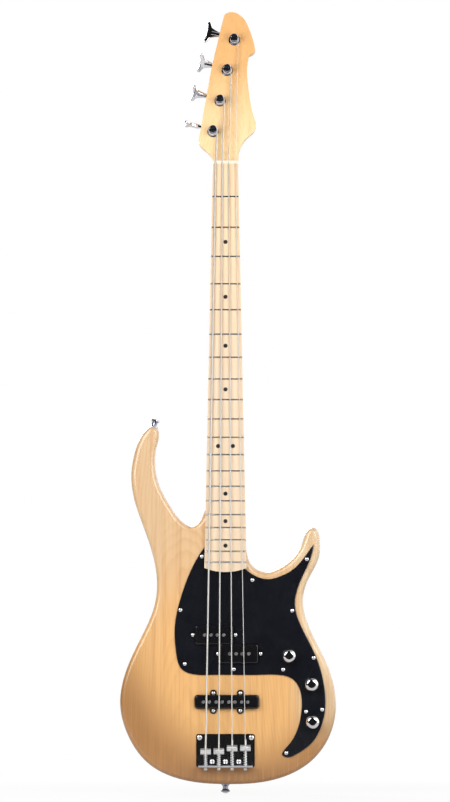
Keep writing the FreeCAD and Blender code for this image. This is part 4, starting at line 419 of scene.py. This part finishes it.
def turnedGrid(profile, steps):
    # a profile of (radius, station) rows carried round the axis
    angle = np.arange(steps) * fullTurn / steps
    radius, station = profile[:, 0][:, None], profile[:, 1][:, None]
    level = station * np.ones_like(angle)[None, :]
    return np.stack([radius * np.cos(angle), radius * np.sin(angle), level], -1)


def manyPiece(name, grids, places, shade):
    # grids that each stand on a seat along its outward direction, all in one piece of the frame
    points, faces, count = [], [], 0
    for grid, (seat, out) in zip(grids, places):
        points.append(grid.reshape(-1, 3) @ axesFor(out) + np.array(seat))
        faces.append(gridFaces(*grid.shape[:2]) + count)
        count += len(points[-1])
    return addPiece(name, np.concatenate(points), np.concatenate(faces), "frame", shade)


# Screws: oval head with a cross recess, on a tapering shank; the head is in shank radii
screwHead = {"steps": 56, "rows": 17, "wide": 2, "skirt": 0.3, "crown": 0.75, "shallower": 0.35,
             "barWide": 0.24, "barEdge": 0.08, "barLong": 1.15, "barEnd": 0.15,
             "firstTurn": 0.4, "turn": 1.9}
headstock = {"tilt": math.radians(10), "root": (-25.5, 926.6), "row": math.radians(12.8),
             "first": (-18.6, 43.6), "pitch": 47.5, "ear": 12.4, "back": 18}
jack = {"turn": math.radians(-21), "place": (156.4, 78), "apart": 15.5, "sunk": 4.2}
strap = {"turn": math.radians(76), "horn": (-109, 520.8), "hornScrew": 21.5, "tailScrew": -11.9}
neckPlate = {"middle": 357, "face": 24.5, "apart": (16, 23)}
splitPickup = {"halves": ((-16.8, 222), (20.4, 194)), "ears": 31.5}
barPickup = {"middle": (2, 122.5), "ears": (20, 12.95)}
headBack = (0, math.cos(headstock["tilt"]), -math.sin(headstock["tilt"]))
jackOut = (math.cos(jack["turn"]), 0, math.sin(jack["turn"]))
hornOut = (math.cos(strap["turn"]), 0, math.sin(strap["turn"]))


def frontSeats(level, spots):
    # seats that face the front, at one level of y
    return [((x, level, z), (0, -1, 0)) for x, z in spots]


def tunerSeat(number):
    # along the slanted row of tuners, then from the headstock's tilted frame to the part's frame
    along = number * headstock["pitch"] - headstock["ear"]
    x = headstock["first"][0] + along * math.sin(headstock["row"])
    z = headstock["first"][1] + along * math.cos(headstock["row"])
    rise, run = math.sin(headstock["tilt"]), math.cos(headstock["tilt"])
    y = headstock["root"][0] + headstock["back"] * run + z * rise
    return (x, y, headstock["root"][1] - headstock["back"] * rise + z * run), headBack


def hornSeat():
    # out along the horn's own direction
    x = strap["horn"][0] + hornOut[0] * strap["hornScrew"]
    return (x, 0, strap["horn"][1] + hornOut[2] * strap["hornScrew"]), hornOut


def jackSeat(side):
    # along the jack plate to one side, and sunk below the body's edge
    along, out = side * jack["apart"], -jack["sunk"]
    x = jack["place"][0] - jackOut[2] * along + jackOut[0] * out
    return (x, 0, jack["place"][1] + jackOut[0] * along + jackOut[2] * out), jackOut


def fourCorners(middle, apart):
    # the corners of a rectangle in x and z
    return [(middle[0] + a * apart[0], middle[1] + b * apart[1]) for a in (-1, 1) for b in (-1, 1)]


guardSpots = [(-35, 338.5), (-67, 259), (-60.5, 179), (12.4, 171), (85.6, 170.5), (131, 188),
              (99, 258), (120.8, 334.5), (40, 303.5), (143.6, 111), (119.6, 108), (90.3, 46.5)]
bridgeSpots = [(-38.5, 69.5), (38.5, 69.5), (-19.7, 33.7), (0, 33.7), (19.7, 33.7)]
earSpots = [(x + side * splitPickup["ears"], z) for x, z in splitPickup["halves"] for side in (-1, 1)]
earSpots += fourCorners(barPickup["middle"], barPickup["ears"])
neckSpots = fourCorners((0, neckPlate["middle"]), neckPlate["apart"])
screws = {
    "pickguard_screws": {"radius": 1.4, "length": 12, "seats": frontSeats(-24.4, guardSpots)},
    "bridge_screws": {"radius": 1.9, "length": 24, "seats": frontSeats(-24.5, bridgeSpots)},
    "pickup_screws": {"radius": 1.4, "length": 30.6, "seats": frontSeats(-24.6, earSpots)},
    "neck_screws": {"radius": 2.1, "length": 43.6,
                    "seats": [((x, neckPlate["face"], z), (0, 1, 0)) for x, z in neckSpots]},
    "tuner_screws": {"radius": 1.2, "length": 11, "seats": [tunerSeat(k) for k in range(4)]},
    "jack_screws": {"radius": 1.4, "length": 14, "seats": [jackSeat(side) for side in (-1, 1)]},
    "strap_screws": {"radius": 2.0, "length": 38,
                     "seats": [((0, 0, strap["tailScrew"]), (0, 0, -1)), hornSeat()]},
}


def crossBar(look, across, along):
    # one bar of the recess: 1 inside, falling to 0 over its sloped edges and ends
    wide = np.clip((look["barWide"] - np.abs(across)) / look["barEdge"], 0, 1)
    return wide * np.clip((look["barLong"] - np.abs(along)) / look["barEnd"], 0, 1)


def screwGrid(look, radius, length, turn):
    # head height falls from the crown by a half ellipse, and sinks where either bar covers it
    crown = np.linspace(0, 1, look["rows"])[:, None] ** 0.8
    angle = np.arange(look["steps"]) * fullTurn / look["steps"] + turn
    u, v = crown * np.cos(angle) * look["wide"], crown * np.sin(angle) * look["wide"]
    bars = np.maximum(crossBar(look, u, v), crossBar(look, v, u))
    height = look["skirt"] + look["crown"] * np.sqrt(np.clip(1 - crown ** 2, 0, 1))
    height = height - bars * (look["crown"] - look["shallower"] * crown)
    tip = -length / radius
    shank = np.array([(look["wide"], 0), (1, 0), (1, tip + 3), (0.5, tip + 1), (0, tip)])
    head = np.stack([u, v, height], -1) * radius
    return np.concatenate([head, turnedGrid(shank * radius, look["steps"])])


for name, look in screws.items():
    turns = screwHead["firstTurn"] + screwHead["turn"] * np.arange(len(look["seats"]))
    grids = [screwGrid(screwHead, look["radius"], look["length"], turn) for turn in turns]
    piece = manyPiece(name + "_driven", grids, look["seats"], shades["screwChrome"])
    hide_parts(name)
print("screws:", sum(len(look["seats"]) for look in screws.values()))


# Knobs: dome, shoulder and a diamond knurl round the side
knob = {"round": 5.0, "chamfer": 0.35, "shoulder": 0.2, "recess": 6.8, "recessDepth": 2.4,
        "bore": 3.03, "boreDepth": 8.0, "knurls": 64, "knurlDepth": 0.24, "knurlLow": 1.2,
        "knurlHigh": 8.6, "knurlEdge": 0.4, "steps": 256, "sideRows": 40, "domeRows": 14, "topRows": 5}


def knobGrid(look, radius, height):
    # side radius dips where two opposite sets of slanted grooves cross
    curve = np.linspace(0, math.pi / 2, look["domeRows"])
    rim = look["round"]
    dome = np.stack([radius - rim + rim * np.cos(curve), height - rim + rim * np.sin(curve)], -1)
    inward = np.linspace(radius - rim, 0, look["topRows"] + 1)[1:]
    flat = np.stack([inward, np.full(look["topRows"], height)], -1)
    up = np.linspace(look["chamfer"], height - rim - look["shoulder"], look["sideRows"])
    side = np.stack([np.full(look["sideRows"], radius), up], -1)
    boreTop = look["recessDepth"] + look["boreDepth"]
    inside = np.array([(0, boreTop), (look["bore"], boreTop), (look["bore"], look["recessDepth"]),
                       (look["recess"], look["recessDepth"]), (look["recess"], 0),
                       (radius - look["chamfer"], 0)])
    grid = turnedGrid(np.concatenate([inside, side, dome, flat]), look["steps"])
    level = grid[..., 2]
    band = np.clip((level - look["knurlLow"]) / look["knurlEdge"], 0, 1)
    band = band * np.clip((look["knurlHigh"] - level) / look["knurlEdge"], 0, 1)
    band[:len(inside)] = 0
    turned = look["knurls"] * np.arange(look["steps"]) * math.pi / look["steps"]
    slant = level * look["knurls"] / radius / 2
    groove = np.cos(turned + slant) ** 2 + np.cos(turned - slant) ** 2
    grid[..., :2] *= (1 - band * (1 - groove / 2) * look["knurlDepth"] / radius)[..., None]
    return grid


for name in ("split_volume", "bridge_volume", "tone"):
    low, high = (np.array(corner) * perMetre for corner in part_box(name + "_knob"))
    grid = knobGrid(knob, (high[0] - low[0]) / 2, high[1] - low[1])
    middle = np.array([(low[0] + high[0]) / 2, high[1], (low[2] + high[2]) / 2])
    points = grid.reshape(-1, 3) @ axesFor((0, -1, 0)) + middle
    piece = addPiece(name + "_knob_knurled", points, gridFaces(*grid.shape[:2]), name,
                     shades["chrome"])
    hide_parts(name + "_knob")
print("knobs: 3")


# Length screw springs, held between the flange and a saddle
spring = {"radius": 2.25, "wire": 0.35, "curls": 6.5, "closed": 0.3, "gap": 0.25, "steps": 40,
          "round": 12}


def springGrid(look, low, high):
    # a circle carried along a helix whose rise slackens to closed curls at both ends
    turns = np.linspace(0, look["curls"], int(look["curls"] * look["steps"]) + 1)
    rise = np.clip(np.minimum(turns, look["curls"] - turns) ** 2, look["closed"], 1)
    climb = np.concatenate([[0], np.cumsum((rise[1:] + rise[:-1]) / 2)])
    angle = turns * fullTurn
    level = low + look["wire"] + (high - low - 2 * look["wire"]) * climb / climb[-1]
    across = np.arange(look["round"]) * fullTurn / look["round"]
    wire = np.full(len(turns), look["wire"])[:, None]
    wire = np.concatenate([0 * wire[:1], wire, 0 * wire[:1]])        # poles close the wire's ends
    angle = np.concatenate([angle[:1], angle, angle[-1:]])[:, None]
    level = np.concatenate([level[:1], level, level[-1:]])[:, None]
    reach = look["radius"] + wire * np.cos(across)
    return np.stack([reach * np.cos(angle), reach * np.sin(angle), level + wire * np.sin(across)], -1)


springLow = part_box("intonation_springs")[0].z
for name in windings:
    saddle = "saddle_" + name
    low, high = (np.array(corner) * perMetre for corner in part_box("intonation_screw_" + name))
    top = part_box(saddle)[0].z - spring["gap"] / perMetre
    grid = springGrid(spring, springLow * perMetre, top * perMetre)
    middle = np.array([(low[0] + high[0]) / 2, (low[1] + high[1]) / 2, 0])
    piece = addPiece("spring_" + name, grid.reshape(-1, 3) + middle, gridFaces(*grid.shape[:2]),
                     ("frame", saddle, (0, 0, springLow), (0, 0, top)),
                     shades["satinNickel"], sharp=60)
    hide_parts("intonation_springs")
print("springs:", len(windings))


# Strings: the CAD tube parted at the saddle's crest, into a tail and a run
stringEnds = {"ball": 25.6, "bend": 1.0, "runLow": 100, "runHigh": 900}
for name in windings:
    node, saddle = "string_" + name, "saddle_" + name
    tube = nodes[node].data
    points = np.empty(len(tube.vertices) * 3)
    tube.vertices.foreach_get("co", points)
    points = points.reshape(-1, 3) * perMetre
    faces = np.empty(len(tube.loops), int)
    tube.loops.foreach_get("vertex_index", faces)
    faces = faces.reshape(-1, 3)
    up = points[:, 2]
    crest = up[up < stringEnds["runLow"]].max()
    beyond = up[faces].max(1) > stringEnds["runLow"]
    ways = {"tail": (~beyond, "frame", saddle, stringEnds["ball"], crest - stringEnds["bend"]),
            "run": (beyond, saddle, "frame", stringEnds["runLow"], stringEnds["runHigh"])}
    for part, (chosen, first, second, start, end) in ways.items():
        kept, places = np.unique(faces[chosen], return_inverse=True)
        follows = (first, second, (0, 0, start / perMetre), (0, 0, end / perMetre))
        piece = addPiece(node + "_" + part, points[kept], places.reshape(-1, 3), follows,
                         shades[nodeShades[node]], creases["split"], creases["weld"])
        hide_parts(node)
print("strings:", len(windings))


# Side dots along the bass edge of the fingerboard
board = {"nut": 921.6, "scale": 863.6, "frets": 20, "nutWide": 37.5, "widens": 25}
sideDots = {"frets": (3, 5, 7, 9, 12, 12, 15, 17, 19), "radius": 1.1, "proud": 0.05, "deep": 0.2,
            "level": -28.0, "pair": 4.0, "steps": 24}


def fretPlace(number):
    # each fret shortens the string by the twelfth root of two
    return board["nut"] - board["scale"] * (1 - 2 ** (-number / 12))


def boardEdge(up):
    # half the board's width, which grows evenly from the nut to the last fret
    share = (board["nut"] - up) / (board["nut"] - fretPlace(board["frets"]))
    return (board["nutWide"] + board["widens"] * share) / 2


places = []
for k, number in enumerate(sideDots["frets"]):
    up = (fretPlace(number) + fretPlace(number - 1)) / 2
    if number == 12:        # the octave has two
        up += sideDots["pair"] if sideDots["frets"][k - 1] == 12 else -sideDots["pair"]
    places.append(((-boardEdge(up), sideDots["level"], up), (-1, 0, 0)))
wide, proud, deep = sideDots["radius"], sideDots["proud"], sideDots["deep"]
dome = np.array([(0, proud), (wide * 0.7, proud * 0.9), (wide, proud * 0.2), (wide, -deep), (0, -deep)])
manyPiece("side_dots", [turnedGrid(dome, sideDots["steps"])] * len(places), places,
          shades["dotPlastic"])
print("side dots:", len(places))


# Stage, in metres: pale round floor, and a white surround that mirrors see darker in front
stage = {"floor": 0.75, "floorWide": 2.0, "floorBack": 0.52, "floorSteps": 96, "floorGap": 0.0005,
         "floorMirror": 0.35, "shadow": 0.10, "shadowFade": (0.35, 0.85), "room": 0.28,
         "front": 0.015, "back": 0.95, "slope": 0.4, "turnover": (-0.3, 1.2),
         "panel": 2.0, "panelSide": (0.45, 0.80), "panelLevel": (-0.6, 0.0)}
white = (1.0, 1.0, 1.0, 1.0)


def floorShade():
    # white to the eye and in mirrors but for a share that takes light and shadow, and fades outwards
    material, at = newShade("paleFloor")
    path = at.make("LightPath")
    mirrored = path.other("Is Glossy Ray") * stage["floorMirror"]
    mirrored = path.math("MAXIMUM", mirrored, path.other("Is Transmission Ray"))
    seen = path.math("MAXIMUM", path, mirrored)
    out = at.make("VectorMath", {"operation": "LENGTH"}, {0: at}, out=1)
    share = out.step(*stage["shadowFade"], stage["shadow"], 0.0)
    lit = at.make("BsdfDiffuse", {}, {"Color": (stage["floor"],) * 3 + (1.0,)})
    glow = at.make("Emission", {}, {"Color": white, "Strength": 1.0})
    mixed = at.make("MixShader", {}, {0: seen * (1 - share), 1: lit, 2: glow})
    mixed.make("OutputMaterial", {}, {"Surface": mixed})
    return material


turn = np.arange(stage["floorSteps"]) * fullTurn / stage["floorSteps"]
rim = np.stack([np.cos(turn), np.sin(turn) + stage["floorBack"], np.zeros(len(turn))], -1)
rim = rim * stage["floorWide"] + (0, 0, cadBox[0].z - stage["floorGap"])
floorMesh = bpy.data.meshes.new("floor")
floorMesh.from_pydata(rim.tolist(), [], [list(range(len(turn)))])
floorMesh.materials.append(floorShade())
floor = bpy.data.objects.new("floor", floorMesh)
scene.collection.objects.link(floor)

world = bpy.data.worlds.new("surround")
scene.world = world
world.use_nodes = True
world.node_tree.nodes.clear()
way = Sock(world.node_tree.nodes.new("ShaderNodeTexCoord").outputs["Generated"])
x = way.make("SeparateXYZ", {}, {"Vector": way})
y, z = x.other("Y"), x.other("Z")
path = way.make("LightPath")
seen = path.math("MAXIMUM", path, path.other("Is Transmission Ray"))
glossy = path.other("Is Glossy Ray")
mirror = y + x * stage["slope"] + z * stage["slope"]
mirror = mirror.step(*stage["turnover"], stage["front"], stage["back"])
panel = x.step(*stage["panelSide"]) * z.step(*stage["panelLevel"]) * stage["panel"]        # right wall
strength = seen.math("MAXIMUM", seen, glossy * (mirror + panel) + (1 - glossy) * stage["room"])
light = way.make("Background", {}, {"Color": white, "Strength": strength})
light.make("OutputWorld", {}, {"Surface": light})

lamps = {
    "key": {"place": (-1.0, -1.6, 1.05), "toward": (0.0, 0.0, 0.6),
            "wide": 1.3, "tall": 1.3, "watts": 30.0},
    "front": {"place": (0.9, -1.6, 0.95), "toward": (0.0, 0.0, 0.6),
              "wide": 1.0, "tall": 1.0, "watts": 18.0},
    "rear": {"place": (-0.7, 2.2, 1.5), "toward": (0.0, 0.0, 0.5),
             "wide": 1.5, "tall": 1.2, "watts": 54.0},
}
for name, look in lamps.items():
    data = bpy.data.lights.new(name, "AREA")
    data.shape = "RECTANGLE"
    data.size, data.size_y, data.energy = look["wide"], look["tall"], look["watts"]
    lamp = bpy.data.objects.new(name, data)
    lamp.location = look["place"]
    aim = Vector(look["toward"]) - Vector(look["place"])
    lamp.rotation_euler = aim.to_track_quat("-Z", "Y").to_euler()
    scene.collection.objects.link(lamp)

# the picture is 802 pixels high, and a pixel is this long at the strings' plane
view = {"pixel": 0.001485, "high": 802, "middle": (-0.0007, 0.5695), "plane": -0.030,
        "lens": 600.0, "sensor": 36.0, "far": 60.0}
eye = bpy.data.cameras.new("eye")
eye.lens = view["lens"]
eye.sensor_width = view["sensor"]
eye.clip_end = view["far"]
camera = bpy.data.objects.new("eye", eye)
away = view["pixel"] * view["high"] * view["lens"] / view["sensor"]
camera.location = (view["middle"][0], view["plane"] - away, view["middle"][1])
camera.rotation_euler = (math.radians(90), 0, 0)
scene.collection.objects.link(camera)
scene.camera = camera
print("stage: floor, surround,", len(lamps), "lamps, camera")
